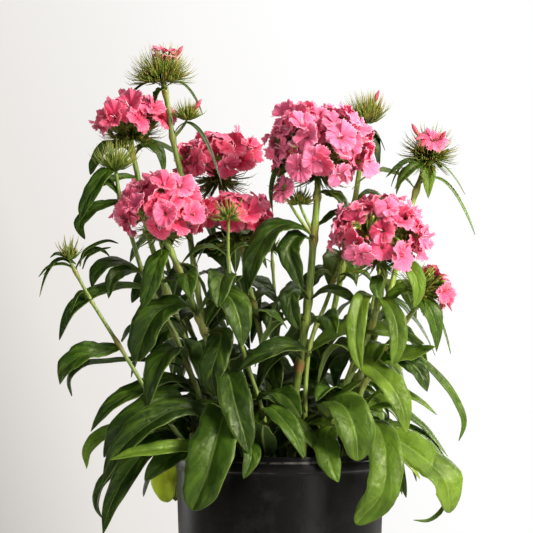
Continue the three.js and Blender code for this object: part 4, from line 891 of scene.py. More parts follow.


# The leaves that show most, laid on their stems one by one: points on the midrib, width,
# which way the upper face looks, and paleness.
# Paleness is partly each leaf's own green and partly painted light and shade, as it stood lit or
# shaded.
LAID = {
    "stem_tall_left": [
        ([(-68, 6, 318), (-60, 3, 326), (-50, 1, 322), (-42, 0, 308)], 17, (0.2, -1, 0.6), 0.12),
        ([(-70, 6, 330), (-77, 3, 338), (-85, 2, 334), (-89, 1, 321)], 13, (-0.2, -1, 0.6), 0.12),
    ],
    "stem_upper_left": [
        ([(-73, 10, 250), (-83, 5, 261), (-94, 2, 257), (-102, 1, 242)], 20, (-0.2, -1, 0.4), 0.1),
        ([(-117, 9, 400), (-126, 4, 406), (-137, 0, 404), (-145, -2, 393), (-149, -2, 382)],
         10, (-0.3, -1, 0.4), 0.4),
        ([(-112, 10, 380), (-122, 2, 381), (-133, -4, 378), (-141, -6, 373)],
         6.5, (0, -1, 0.6), 0.4),
        ([(-114, 9, 399), (-106, 4, 407), (-95, 2, 401), (-91, 2, 383)], 9, (0.2, -1, 0.5), 0.3),
    ],
    "stem_middle": [
        ([(-17, -1, 268), (-11, -4, 275), (-6, -6, 266), (-5, -6, 250)], 14, (0.1, -1, 0.4), 0.1),
    ],
    "stem_far_left": [
        ([(-80, 50, 279), (-87, 66, 292), (-93, 82, 287), (-98, 94, 268)], 13, (-0.2, 0.5, 1), 0.3),
    ],
    "shoot_front_left": [
        ([(-41, -51, 189), (-42, -66, 199), (-48, -86, 180), (-56, -95, 152), (-67, -92, 125)],
         35, (-0.2, -1, 0.5), 0.5),
        ([(-45, -51, 190), (-75, -60, 201), (-101, -68, 189), (-122, -74, 170), (-137, -72, 142)],
         23, (-0.2, -0.9, 0.8), 0.08),
        ([(-45, -51, 179), (-68, -66, 172), (-90, -78, 171), (-109, -84, 169), (-130, -86, 163)],
         14, (0, -0.9, 1), 0.75),
        ([(-45, -50, 176), (-74, -60, 169), (-91, -68, 159), (-104, -68, 146)],
         17, (-0.2, -1, 0.5), 0.3),
        ([(-36, -51, 186), (-26, -66, 179), (-22, -85, 166), (-28, -90, 149)],
         14, (0.2, -1, 0.3), 0.4),
    ],
    "stem_front_left": [
        ([(-47, -32, 228), (-40, -58, 226), (-35, -80, 207), (-29, -88, 187), (-24, -88, 168)],
         24, (0.2, -1, 0.4), 0.16),
        ([(-57, -35, 258), (-46, -48, 258), (-49, -58, 242), (-53, -60, 227), (-49, -57, 210)],
         22, (-0.3, -1, 0.3), 0.12),
        ([(-64, -38, 272), (-53, -50, 287), (-40, -60, 287), (-32, -66, 271), (-29, -66, 249)],
         24, (0.2, -1, 0.8), 0.22),
        ([(-64, -38, 272), (-79, -50, 281), (-94, -60, 275), (-104, -66, 258), (-110, -66, 238)],
         27, (-0.3, -1, 0.7), 0.15),
        ([(-87, -44, 324), (-93, -54, 318), (-97, -60, 306), (-102, -62, 290), (-107, -60, 276)],
         17, (-0.4, -1, 0.3), 0.45),
    ],
    "stem_left_bud": [
        ([(-128, -15, 384), (-134, -22, 385), (-144, -28, 372), (-152, -30, 358), (-155, -30, 346)],
         14, (-0.5, -1, 0.4), 0.35),
        ([(-125, -15, 361), (-136, -20, 359), (-148, -24, 353), (-156, -26, 343), (-152, -26, 331)],
         11, (-0.4, -1, 0.5), 0.45),
        ([(-108, -16, 306), (-123, -24, 314), (-138, -32, 310), (-144, -36, 303), (-146, -36, 293)],
         14, (-0.1, -0.8, 1), 0.15),
        ([(-107, -16, 305), (-121, -30, 307), (-130, -38, 300), (-133, -38, 285)],
         12, (0, -1, 0.6), 0.12),
        ([(-102, -16, 293), (-123, -26, 295), (-144, -36, 288), (-162, -42, 275), (-171, -42, 253)],
         14, (0, -0.7, 1), 0.15),
        ([(-75, -13, 231), (-98, -18, 236), (-129, -24, 237), (-153, -28, 233), (-163, -30, 222),
          (-162, -30, 209)], 12, (0, -0.3, 1), 0.1),
        ([(-70, -12, 218), (-91, -22, 223), (-117, -32, 211), (-135, -38, 199), (-147, -38, 182)],
         17, (0, -0.7, 1), 0.1),
    ],
    "stem_low_left": [
        ([(-125, -40, 247), (-139, -46, 245), (-154, -52, 241), (-165, -54, 232), (-170, -52, 219)],
         20, (0, -0.9, 1), 0.45),
        ([(-155, -43, 310), (-152, -44, 321), (-143, -44, 327), (-133, -43, 330), (-125, -42, 328)],
         4, (0, -0.7, 1), 0.3),
        ([(-153, -42, 308), (-149, -43, 317), (-141, -43, 322), (-131, -42, 325)],
         3.5, (0, -0.7, 1), 0.15),
        ([(-157, -43, 308), (-168, -44, 312), (-179, -44, 310), (-187, -43, 302)],
         3.5, (0, -0.7, 1), 0.2),
        ([(-158, -43, 312), (-166, -45, 318), (-173, -45, 320), (-178, -45, 317)],
         4.5, (0, -0.7, 1), 0.2),
        ([(-123, -40, 252), (-116, -44, 262), (-108, -44, 263)], 7, (0, -1, 1), 0.3),
    ],
    "shoot_left": [
        ([(-69, 0, 189), (-79, -30, 209), (-102, -46, 201), (-122, -54, 184), (-136, -54, 163)],
         24, (-0.2, -0.8, 1), 0.15),
        ([(-72, 2, 185), (-114, -8, 185), (-138, -16, 179), (-150, -20, 168), (-151, -20, 152)],
         12, (-0.3, -1, 0.4), 0.9),
        ([(-71, 2, 181), (-94, -30, 175), (-114, -44, 156), (-129, -50, 130), (-137, -50, 103)],
         20, (-0.4, -1, 0.4), 0.15),
        ([(-72, 0, 180), (-117, -30, 161), (-137, -36, 141), (-142, -36, 125), (-137, -34, 113)],
         11, (0, -0.3, 1), 0.1),
        # This leaf's paleness above one is painted light: the glow of light shining through it.
        ([(-71, 4, 184), (-81, 12, 175), (-88, 18, 155), (-91, 20, 139), (-89, 20, 123)],
         25, (-0.5, -1, 0.2), 1.18),
    ],
    "shoot_front": [
        ([(-14, -54, 192), (-9, -64, 202), (1, -76, 194), (11, -82, 181), (18, -82, 164)],
         17, (0.3, -1, 0.8), 0.5),
        ([(-9, -54, 189), (7, -64, 191), (21, -70, 180), (32, -72, 165)], 13, (0.2, -0.8, 1), 0.5),
    ],
    "shoot_front_right": [
        ([(41, -46, 193), (38, -58, 206), (49, -74, 202), (57, -84, 184), (59, -84, 162)],
         30, (0.2, -1, 0.6), 0.6),
        ([(41, -46, 188), (35, -66, 180), (37, -84, 163), (44, -88, 146)], 19, (0, -1, 0.4), 0.6),
    ],
    "shoot_right": [
        ([(67, -30, 188), (74, -56, 189), (80, -80, 168), (77, -90, 139), (57, -86, 114)],
         26, (0.1, -1, 0.3), 0.68),
        ([(68, -28, 186), (84, -46, 180), (107, -62, 165), (126, -68, 146), (130, -64, 121)],
         32, (0.2, -0.8, 1), 0.9),
        ([(68, -26, 187), (97, -30, 178), (120, -30, 153), (129, -26, 130), (117, -22, 114),
          (104, -20, 112)], 12, (1, -0.2, 0.5), 0.4),
        ([(68, -24, 190), (91, -22, 186), (113, -22, 178), (129, -20, 161)],
         9, (0.2, -0.5, 1), 0.6),
        ([(68, -30, 185), (81, -50, 178), (90, -58, 157), (97, -56, 132)],
         11, (0.4, -1, 0.3), 0.35),
        ([(64, -24, 198), (80, -26, 214), (102, -32, 209), (122, -32, 195)],
         10, (0.1, -0.6, 1), 0.8),
        ([(65, -22, 197), (86, -20, 201), (109, -22, 188), (131, -22, 162)],
         10, (0.1, -0.6, 1), 0.7),
    ],
    "stem_front_right": [
        ([(57, -27, 228), (65, -42, 235), (80, -56, 224), (92, -62, 206), (97, -60, 182)],
         21, (0.3, -1, 0.6), 0.85),
        ([(75, -34, 286), (65, -46, 287), (59, -56, 270), (58, -60, 250), (62, -58, 230)],
         15, (-0.1, -1, 0.3), 0.8),
        ([(76, -34, 284), (82, -46, 283), (89, -54, 267), (90, -56, 250), (86, -54, 233)],
         15, (0.3, -1, 0.4), 0.75),
        ([(80, -36, 306), (91, -46, 313), (101, -54, 307), (106, -56, 294), (103, -54, 278)],
         14, (0.3, -1, 0.6), 0.8),
        ([(78, -38, 303), (75, -48, 301), (74, -53, 293), (78, -54, 284)], 10, (0, -1, 0.3), 0.5),
    ],
    "stem_low_right": [
        ([(72, -20, 232), (87, -30, 239), (102, -36, 242), (120, -38, 248)], 17, (0, -0.8, 1), 0.9),
        ([(80, -23, 248), (101, -26, 243), (121, -28, 227), (137, -28, 206), (143, -28, 188),
          (139, -28, 174)], 6.5, (0.5, -1, 0.3), 0.55),
        ([(82, -24, 245), (96, -34, 239), (108, -38, 228), (114, -38, 213)],
         16, (0.4, -1, 0.4), 0.1),
        ([(104, -29, 279), (109, -40, 284), (115, -46, 278), (120, -46, 263), (121, -44, 244)],
         16, (0.5, -1, 0.3), 0.5),
        ([(112, -30, 286), (121, -27, 276), (128, -25, 259), (133, -24, 242)],
         5, (0.5, -0.6, 1), 0.5),
    ],
    "stem_right_cluster": [
        ([(22, -32, 245), (43, -32, 258), (79, -32, 261), (112, -32, 250)], 17, (0, -0.8, 1), 0.75),
        ([(23, -32, 242), (15, -44, 248), (0, -54, 247), (-17, -60, 241), (-32, -60, 230)],
         20, (-0.1, -0.8, 1), 0.12),
    ],
    "stem_crown_head": [
        ([(22, -22, 284), (35, -30, 292), (50, -36, 289), (63, -38, 279)], 11, (0, -0.8, 1), 0.3),
        ([(26, -28, 333), (9, -40, 343), (-8, -50, 337), (-20, -56, 317), (-26, -56, 290)],
         22, (-0.2, -0.8, 1), 0.14),
        ([(24, -28, 331), (13, -38, 333), (7, -44, 323), (11, -46, 309), (17, -44, 292)],
         17, (-0.2, -1, 0.4), 0.1),
        ([(27, -28, 383), (19, -36, 388), (8, -43, 387), (-2, -45, 379)],
         12, (-0.2, -0.8, 1), 0.08),
        ([(26, -28, 380), (6, -36, 390), (-3, -39, 384), (-7, -39, 368), (-6, -37, 352)],
         4.5, (-0.5, -1, 0.4), 0.1),
        ([(22, -22, 282), (13, -32, 293), (8, -38, 287), (9, -40, 275), (15, -38, 261)],
         15, (-0.2, -1, 0.4), 0.12),
    ],
    "stem_right_bud": [
        ([(114, 8, 394), (108, 2, 390), (100, -2, 384), (90, -4, 371)], 8.5, (-0.3, -1, 0.5), 0.5),
        ([(113, 10, 391), (103, 4, 394), (93, 0, 389), (83, -2, 380)], 5.5, (0, -0.8, 1), 0.3),
    ],
}
LAID_PALENESS = 0.85
for name, leaves in LAID.items():
    for midrib, width, face, paleness_and_light in leaves:
        draw = random.Random(str(midrib[-1]))
        grow_leaf(name, partial(laid, midrib, width, face), draw, LAID_PALENESS * paleness_and_light)

# The arched leaves of the stems' own tables, where their solids stand. Those on the plant's right,
# but not at the back, are painted paler: painted light, as the light falls from the right.
LIT_SIDE_PALENESS = 0.5
for name, stem in STEMS.items():
    draw = random.Random("leaves of " + name)
    pairs = [pair_leaves(*pair, stem["path"][-1][2]) for pair in stem.get("pairs", ())]
    for leaf in sum(pairs, stem["leaves"]):
        found = as_built(name, curves[name], leaf)
        if found is not None:
            root = found[0]
            # Painted light: paler on the plant's right.
            painted_light = LIT_SIDE_PALENESS * (root[0] > 30 and root[1] < 20)
            varied = (0.7 if root[1] > 20 else 0.75 - LIT_SIDE_PALENESS) * draw.random()
            grow_leaf(name, partial(arched, *found), draw, painted_light + varied)

# The leaves between these, which fill the plant's middle where there is room: a pair at
# each fresh node, turned by a quarter from the pair below, and a few round the foot.
FILL_REACH = 118  # how far from the plant's axis the tips of these leaves may be
FILL_AXIS = -5  # x of that axis
FILL_LOWEST = 125  # the lowest that a tip may hang
RIM_FRONT, RIM_CLEAR = -45, 172  # in front of this y, a tip stays above this height
FILL_TRIES = 30
ROSETTE = 9  # leaves round the foot of a short shoot
AT_FOOT = 2  # leaves round the foot of a stem
CLASPING = 0.12  # the share of a leaf, from its root, that may touch its own stem
solid_trees = {}
for name, corners in corners_of.items():
    solid_faces = [list(f.vertices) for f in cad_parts[name].data.polygons]
    solid_trees[name] = BVHTree.FromPolygons(corners.tolist(), solid_faces)


def is_clear(name, shape, seed):
    """Whether a leaf, but for its root, crosses nothing that stands there."""
    along, across, faces = rough_sheet
    points = shape(along, across, random.Random(seed)).tolist()
    whole = BVHTree.FromPolygons(points, faces)
    outer = BVHTree.FromPolygons(points, [f for f in faces if min(along[f]) > CLASPING])
    for other, tree in solid_trees.items():
        if (outer if other == name else whole).overlap(tree):
            return False
    return not any(outer.overlap(tree) for tree in leaf_trees)


def fill_leaf(name, height, bearing, reach, width, drop, rise, draw):
    """Grows one of these leaves if there is room, and says whether it did."""
    root = on_curve(curves[name], share_at(curves[name], height))
    leaf = (height, bearing, reach, drop * reach, rise * reach, width, draw.uniform(0, 30))
    tip = spine(root, leaf, 1.0)[0][0]
    seed = draw.random()
    over_rim = tip[1] < RIM_FRONT and tip[2] < RIM_CLEAR
    if math.hypot(tip[0] - FILL_AXIS, tip[1]) > FILL_REACH or tip[2] < FILL_LOWEST or over_rim:
        return False
    shape = partial(arched, root, leaf)
    if not is_clear(name, shape, seed):
        return False
    # Painted shade and light: these inner leaves are kept dark, and paler the further right their
    # tip.
    grow_leaf(name, shape, random.Random(seed), 0.32 * draw.random() + 0.005 * max(0, tip[0]))
    return True


for name, stem in STEMS.items():
    draw = random.Random("filling of " + name)
    first = draw.uniform(0, 180)
    for number, height in enumerate(fresh_nodes[name]):
        share = min(1, (height - STEM_START) / 160)
        for half_turn in (0, 180):
            for attempt in range(FILL_TRIES):
                strayed = 12 + 5 * attempt
                bearing = first + 90 * number + half_turn + draw.uniform(-strayed, strayed)
                small = 1 - 0.012 * attempt
                reach = (66 - 28 * share) * draw.uniform(0.75, 1.15) * small
                width = (24 - 8 * share) * draw.uniform(0.85, 1.1) * small
                drop, rise = draw.uniform(-0.85, 0.1), draw.uniform(0.25, 0.75)
                if fill_leaf(name, height, bearing, reach, width, drop, rise, draw):
                    break
    for number in range(ROSETTE if name.startswith("shoot") else AT_FOOT):
        for attempt in range(FILL_TRIES):
            height = draw.uniform(163, min(205, stem["path"][-1][2] - 2))
            bearing = 137.5 * number + draw.uniform(-40, 40)
            reach, width = draw.uniform(34, 62), draw.uniform(13, 22)
            drop, rise = draw.uniform(-0.7, 0.9), draw.uniform(0.2, 0.9)
            if fill_leaf(name, height, bearing, reach, width, drop, rise, draw):
                break


def off_midrib(tree, tone):
    """How far across a leaf a point is: 0 at the midrib and 1 at the margin."""
    off_middle = add(
        tree, "MapRange", {"Value": tone["Green"], "From Min": 0.5, "From Max": 1}, clamp=False
    )
    return add(tree, "Math", {0: off_middle}, operation="ABSOLUTE")


# Leaf, upper face: deep green, glossy, with a pale midrib, faint side veins and mottling, lighter
# on the raised puckers partly as painted highlight, and darker in broad patches as painted shade.
# Tone: how far along the leaf, how far across, how pale (partly painted light and shade).
leaf_face, tree, shader, place, tone = new_toned_material("sweet william leaf, upper face")
# The ramp's bright yellow-green top is painted light, for the leaf lit through from behind.
leaf_greens = [(0, "#122304"), (0.4, "#284109"), (0.8, "#627B24"), (1, "#B2C328")]
ground = add(tree, "ValToRGB", {"Fac": tone["Blue"]}, stops=leaf_greens)
aside = off_midrib(tree, tone)
forward = add(tree, "Math", {0: aside, 1: -0.28, 2: tone["Red"]}, operation="MULTIPLY_ADD")
slanted = add(tree, "CombineXYZ", {"X": forward, "Y": tone["Green"], "Z": tone["Blue"]})
veinwise = add(tree, "Mapping", {"Vector": slanted, "Scale": (9, 2.2, 40)})
pucker = add(tree, "TexNoise", {"Vector": veinwise, "Scale": 1, "Detail": 2, "Roughness": 0.58})
# Lighter green on the raised puckers: partly the leaf's mottling, partly a painted highlight.
raised_highlight = add(tree, "MapRange", {"Value": pucker, "From Min": 0.46, "From Max": 0.8, "To Max": 0.34})
mottled_highlit = add(tree, "Mix", {0: raised_highlight, 6: ground, 7: "#71902A"}, data_type="RGBA")
# Broad darker patches across neighbouring leaves: painted shade.
patch = add(tree, "TexNoise", {"Vector": place, "Scale": 48, "Detail": 2})
shaded = add(tree, "MapRange", {"Value": patch, "From Min": 0.42, "From Max": 0.68, "To Max": 0.6})
patch_shaded = add(tree, "Mix", {0: shaded, 6: mottled_highlit, 7: "#152804"}, data_type="RGBA")
on_rib = add(
    tree,
    "MapRange",
    {"Value": aside, "From Min": 0.01, "From Max": 0.05, "To Min": 0.2, "To Max": 0},
)
ribbed = add(tree, "Mix", {0: on_rib, 6: patch_shaded, 7: "#96A95A"}, data_type="RGBA")
on_margin = add(tree, "MapRange", {"Value": aside, "From Min": 0.94, "From Max": 1, "To Max": 0.2})
edged = add(tree, "Mix", {0: on_margin, 6: ribbed, 7: "#A3B262"}, data_type="RGBA")
skin = add(tree, "TexNoise", {"Vector": place, "Scale": 250, "Detail": 3, "Roughness": 0.6})
quilt = add(tree, "TexNoise", {"Vector": place, "Scale": 105, "Detail": 1, "Distortion": 0.6})
bump = add(tree, "Bump", {"Height": quilt, "Strength": 0.6, "Distance": 0.0024})
bump = add(tree, "Bump", {"Height": pucker, "Strength": 0.45, "Distance": 0.0014, "Normal": bump})
bump = add(tree, "Bump", {"Height": skin, "Strength": 0.4, "Distance": 0.0008, "Normal": bump})
rough = add(
    tree,
    "MapRange",
    {"Value": skin, "From Min": 0.3, "From Max": 0.7, "To Min": 0.36, "To Max": 0.54},
)
feed(shader, {
    "Base Color": edged, "Roughness": rough, "Normal": bump, "IOR": 1.42,
    "Specular IOR Level": 0.36, "Specular Tint": "#F0F6CC",
    "Subsurface Weight": 0.2, "Subsurface Radius": (0.5, 1, 0.1), "Subsurface Scale": 0.002,
})

# Leaf, underside: paler and greyer, dull, with a raised midrib. Its tone is the upper face's.
leaf_back, tree, shader, _, tone = new_toned_material("sweet william leaf, underside")
ground = add(tree, "ValToRGB", {"Fac": tone["Blue"]}, stops=[(0, "#34481A"), (1, "#64792F")])
aside = off_midrib(tree, tone)
on_rib = add(
    tree,
    "MapRange",
    {"Value": aside, "From Min": 0.03, "From Max": 0.12, "To Min": 0.6, "To Max": 0},
)
ribbed = add(tree, "Mix", {0: on_rib, 6: ground, 7: "#9FB264"}, data_type="RGBA")
bump = add(tree, "Bump", {"Height": on_rib, "Strength": 0.6, "Distance": 0.0006})
feed(shader, {
    "Base Color": ribbed, "Roughness": 0.6, "Normal": bump, "IOR": 1.42,
    "Subsurface Weight": 0.12, "Subsurface Radius": (0.5, 1, 0.15), "Subsurface Scale": 0.002,
})


def thicken(thing, thickness):
    """Welds the tips of a piece's open sheets and gives them a thickness and an underside."""
    bpy.context.view_layer.objects.active = thing
    bpy.ops.object.mode_set(mode="EDIT")
    bpy.ops.mesh.select_all(action="SELECT")
    bpy.ops.mesh.remove_doubles(threshold=0.02 * MM)
    bpy.ops.object.mode_set(mode="OBJECT")
    apply_modifier(thing, "SOLIDIFY", thickness=thickness * MM, offset=-1, material_offset=1)
    return thing


stem_pieces = {name: [tubes[name]] for name in STEMS}
for name, parts in leaf_parts.items():
    leaves = add_mesh(name + "_leaves", parts, [leaf_face, leaf_back])
    stem_pieces[name].append(thicken(leaves, LEAF_THICKNESS))


# ---------------------------------------------------------------- flower heads and bud clusters
# A head is a dense bunch of florets. Each has five overlapping, toothed, velvety petals on a
# green tube, wrapped in needle-like bracts; a bud cluster is all tubes and bracts, like a brush.
# Florets: dome radius, how many, how far round from the top (degrees), petal length.
FLORETS = {
    "bloom_crown": (36, 66, 118, 11.6),
    "bloom_front_left": (28, 39, 112, 11.6),
    "bloom_front_right": (32.5, 46, 112, 11.6),
    "bloom_back_left": (27, 24, 98, 12.5),
    "bloom_middle": (25, 19, 98, 12),
    "bloom_upper_left": (26, 14, 82, 12.5),
    "bloom_far_right": (26, 21, 98, 12),
    "bloom_far_left": (27, 22, 98, 12),
    "bloom_low_right": (12, 9, 80, 10.5),
    "bloom_right_bud": (14, 1, 0, 13),
    "bloom_tall_left": (13, 3, 24, 10),
    "bloom_side_floret": (7, 1, 0, 11.5),
}
# Bracts: how many, how far their tips reach, from and to which angle from the top, and how many
# furled buds show between them.
BRACTS = {
    "bloom_crown": (46, 27, 85, 125, 0),
    "bloom_front_left": (44, 25, 80, 125, 0),
    "bloom_front_right": (46, 27, 80, 125, 0),
    "bloom_back_left": (80, 32, 75, 140, 0),
    "bloom_middle": (50, 27, 80, 140, 0),
    "bloom_upper_left": (230, 29, 35, 120, 2),
    "bloom_far_right": (44, 27, 85, 140, 0),
    "bloom_far_left": (44, 27, 85, 140, 0),
    "bloom_low_right": (190, 24, 0, 120, 1),
    "bloom_right_bud": (280, 27, 20, 105, 2),
    "bloom_tall_left": (430, 30, 2, 92, 1),
    "bloom_side_floret": (26, 13, 30, 130, 0),
    "buds_left": (170, 27, 0, 60, 0),
    "buds_low_left": (40, 21, 0, 48, 0),
    "buds_front": (60, 18, 0, 100, 0),
    "buds_back_right": (400, 28, 0, 68, 1),
    "buds_right": (46, 15, 0, 115, 0),
    "buds_far": (34, 14, 0, 115, 0),
    "buds_tall_side": (150, 19, 0, 62, 1),
    "buds_crown_side": (80, 17, 0, 85, 0),
}
# Where a head still shows green buds: direction from its centre, how wide (degrees), and how
# far they stand out.
GAPS = {
    "bloom_crown": [(-0.7, -0.66, 0.2, 15, -4), (0.4, -0.9, -0.12, 15, -4)],
    "bloom_front_left": [(-0.6, -0.79, -0.1, 17, -4)],
    "bloom_front_right": [(-0.37, -0.6, 0.72, 26, 2), (0.52, -0.78, 0.35, 19, -3)],
    "bloom_low_right": [(-0.2, -0.8, 0.55, 48, 3)],
}
# How much pinker a head is than the others, and how pale the young green of a bud cluster.
PINKER = {
    "bloom_crown": 0.5,
    "bloom_front_right": 0.22,
    "bloom_right_bud": 0.4,
    # The side floret sits in the crown's shadow: its high value is painted light.
    "bloom_side_floret": 0.8,
}
PALE = {"buds_left": 0.15, "buds_right": 0.1, "buds_far": 0.2}
GOLDEN_ANGLE = math.pi * (3 - math.sqrt(5))
PETALS = 5
PETAL_TEETH = 9
PETAL_THICKNESS = 0.25
LAYER = 3.6  # height between two of the three layers in which florets overlap
CALYX_RADIUS = 1.9
CALYX_LENGTH = 15
BRACT_RADIUS = 0.7
FINE_BRACT_RADIUS = 0.48
CROWDED = 130  # with so many bracts or more, each is a fine one
TIPS_FROM, TIPS_TO = 5, 50  # angles from the top between which a cluster's furled buds show
GREEN_FLORETS = 0.06  # the share of a head's florets that are still in bud
STYLED_FLORETS = 0.4  # the share whose two styles show

# Petals: soft velvety coral, rosier in some florets, deep rose at the throat, pale at the teeth.
# Tone: how far out on the petal, how far across, how pink; lower layers are painted deeper, as
# shade.
petal_face, tree, shader, _, tone = new_toned_material("sweet william petal, upper face")
petal_reds = [(0, "#A82644"), (0.2, "#D02A56"), (0.6, "#E84E79"), (0.93, "#EF7D9A"), (1, "#F7ABBA")]
outwards = add(tree, "ValToRGB", {"Fac": tone["Red"]}, stops=petal_reds)
floret_hues = [(0, "#B80F22"), (0.45, "#DE3359"), (1, "#EE7CA5")]
hue = add(tree, "ValToRGB", {"Fac": tone["Blue"]}, stops=floret_hues)
tinted = add(tree, "Mix", {0: 0.5, 6: outwards, 7: hue}, data_type="RGBA")
combed = add(tree, "Math", {0: tone["Green"], 1: 75}, operation="MULTIPLY")
rays = add(tree, "Math", {0: combed}, operation="SINE")
dark_ray = add(tree, "MapRange", {"Value": rays, "From Min": 0.3, "To Max": 0.25})
veined = add(tree, "Mix", {0: dark_ray, 6: tinted, 7: "#C9265A"}, data_type="RGBA")
bump = add(tree, "Bump", {"Height": rays, "Strength": 0.3, "Distance": 0.0003})
petal_flesh = {
    "Subsurface Weight": 0.2,
    "Subsurface Radius": (1, 0.25, 0.3),
    "Subsurface Scale": 0.003,
}
feed(shader, {
    "Base Color": veined, "Roughness": 0.6, "Normal": bump, "IOR": 1.4,
    "Sheen Weight": 0.12, "Sheen Roughness": 0.4, **petal_flesh,
})

# Petal backs: the same, paler and duller.
petal_back, tree, shader, _, tone = new_toned_material("sweet william petal, underside")
back_reds = [(0, "#D8809A"), (0.5, "#DE5A80"), (1, "#EE90AC")]
outwards = add(tree, "ValToRGB", {"Fac": tone["Red"]}, stops=back_reds)
feed(shader, {"Base Color": outwards, "Roughness": 0.7, **petal_flesh})

# Bracts and calyx tubes: dark green at their feet, yellow green at the tips, some reddish.
# Tone: how far along, how pale, how reddish.
bract_green, tree, shader, _, tone = new_toned_material("sweet william bract and calyx")
bract_greens = [(0, "#657A24"), (0.4, "#4A6418"), (0.75, "#70822A"), (1, "#A9A650")]
along = add(tree, "ValToRGB", {"Fac": tone["Red"]}, stops=bract_greens)
reddish = add(tree, "MapRange", {"Value": tone["Blue"], "From Min": 0.5, "To Max": 0.8})
ruddy = add(tree, "Math", {0: reddish, 1: tone["Red"]}, operation="MULTIPLY")
pale = add(tree, "Math", {0: tone["Green"], 1: 0.6}, operation="MULTIPLY")
young = add(tree, "Mix", {0: pale, 6: along, 7: "#A9BE52"}, data_type="RGBA")
tinted = add(tree, "Mix", {0: ruddy, 6: young, 7: "#9A5F30"}, data_type="RGBA")
feed(shader, {"Base Color": tinted, "Roughness": 0.5, "IOR": 1.42})

# Furled petal tips of the buds: dull crimson.
furled, tree, shader, place = new_material("sweet william petals, furled")
streak = add(tree, "TexNoise", {"Vector": place, "Scale": 700, "Detail": 2})
crimson = add(tree, "ValToRGB", {"Fac": streak}, stops=[(0.35, "#8E2A3C"), (0.65, "#D0586A")])
feed(shader, {"Base Color": crimson, "Roughness": 0.6})

# Styles: white threads in the throat of a ripe floret. Tone: how far along.
style, tree, shader, _, tone = new_toned_material("sweet william style")
blush = add(tree, "ValToRGB", {"Fac": tone["Red"]}, stops=[(0, "#E79AB4"), (0.5, "#FBEFF2")])
feed(shader, {"Base Color": blush, "Roughness": 0.5})
GREEN_FINISHES = [bract_green, furled, style]
FURLED, STYLE = 1, 2  # their numbers among these

# Slender patterns, one millimetre long and about one in radius (radius and height of each point
# of their outlines), and a petal's flat sheet.
NEEDLE = [(1, 0), (1.05, 0.3), (0.6, 0.72), (0.08, 1)]
CALYX = [(0.5, 0), (0.95, 0.12), (1, 0.6), (0.75, 0.85), (0.2, 1)]
STALK = [(1, 0), (0.8, 0.5), (0.9, 1)]
BUD_TIP = [(0.6, 0), (1, 0.3), (0.9, 0.65), (0.25, 1)]
needle, calyx, stalk, bud_tip = [
    pattern(turned_shell, name="sprout", profile=profile, sides=sides)
    for profile, sides in ((NEEDLE, 4), (CALYX, 7), (STALK, 5), (BUD_TIP, 6))
]
petal_corners, petal_faces = pattern(
    bpy.ops.mesh.primitive_grid_add, x_subdivisions=5, y_subdivisions=2 * PETAL_TEETH, size=2
)
petal_rows = np.array([0, 0.22, 0.5, 0.75, 0.91, 1])  # shares of its length at which they lie
petal_out = petal_rows[np.rint((petal_corners[:, 0] + 1) * 2.5).astype(int)]
petal_side = petal_corners[:, 1]
petal_tooth = np.where(petal_out == 1, (-1.0) ** np.rint((petal_side + 1) * PETAL_TEETH), 0)


def sprout(shape, start, end, radius, draw, finish=0, pale=0, young=1, bow=(0, 0, 0), flat=1):
    """A slender pattern drawn out from start to end, bowed aside in its middle, with its tone."""
    corners, faces = shape
    corners = corners * (1 / MM)
    axis = unit(end - start)
    side = unit(np.cross(axis, (0.31, 0.52, 0.8)))
    other = np.cross(axis, side)
    along = corners[:, 2:3]
    points = start + (end - start) * along + np.array(bow) * 4 * along * (1 - along)
    points = points + radius * (corners[:, 0:1] * side + flat * corners[:, 1:2] * other)
    rest = np.full((len(along), 2), (pale, draw.random() * (1 - pale)))
    return points, faces, np.column_stack([young * along, rest]), finish


def spiral(count, high, low, draw):
    """Numbers, angles from the top, and bearings, of directions spread evenly round an axis."""
    high, low = math.cos(math.radians(high)), math.cos(math.radians(low))
    for i in range(count):
        polar = math.acos(high + (low - high) * (i + 0.5) / count)
        yield i, polar, i * GOLDEN_ANGLE + draw.uniform(-0.15, 0.15)


def pointing(polar, bearing):
    """The direction at an angle from +Z and a bearing round it."""
    level = math.sin(polar)
    return np.array([level * math.cos(bearing), level * math.sin(bearing), math.cos(polar)])


def scatter(draw, size):
    """A small random vector."""
    return np.array([draw.uniform(-size, size) for _ in range(3)])


def floret(centre, normal, size, paleness_and_light, draw):
    """The five petals of a floret that opens towards its normal."""
    side = unit(np.cross(normal, (0.2, 0.9, 0.4)))
    other = np.cross(normal, side)
    first = draw.uniform(0, math.tau)
    cupped = draw.uniform(-0.14, 0.3)
    s, w = petal_out, petal_side
    spread = np.interp(s, [0, 0.3, 0.65, 1], [0.5, 0.62, 0.78, 0.84])
    profile = np.interp(s, [0, 0.2, 0.7, 1], [-0.4, -0.07, 0.03, -0.05])
    tones = np.column_stack([s, w / 2 + 0.5, np.full(len(s), paleness_and_light)])
    parts = []
    for k in range(PETALS):
        length = size * draw.uniform(0.82, 1.08)
        reach = length * (0.04 + 0.96 * s) * (1 - 0.14 * s * np.abs(w) ** 3)
        reach = reach * (1 + 0.055 * petal_tooth)
        angle = first + k * math.tau / PETALS + draw.uniform(-0.15, 0.15) + w * spread
        wave = 0.13 * np.sin(3.4 * w + draw.uniform(0, math.tau))
        wave = wave + 0.07 * np.sin(9 * w + draw.uniform(0, math.tau))
        tilt = cupped + draw.uniform(-0.3, 0.3)
        rise = profile + 0.1 * w * s + (wave + tilt) * s * s
        x, y = reach * np.cos(angle), reach * np.sin(angle)
        points = centre + x[:, None] * side + y[:, None] * other + (length * rise)[:, None] * normal
        parts.append((points, petal_faces, tones, 0))
    return parts


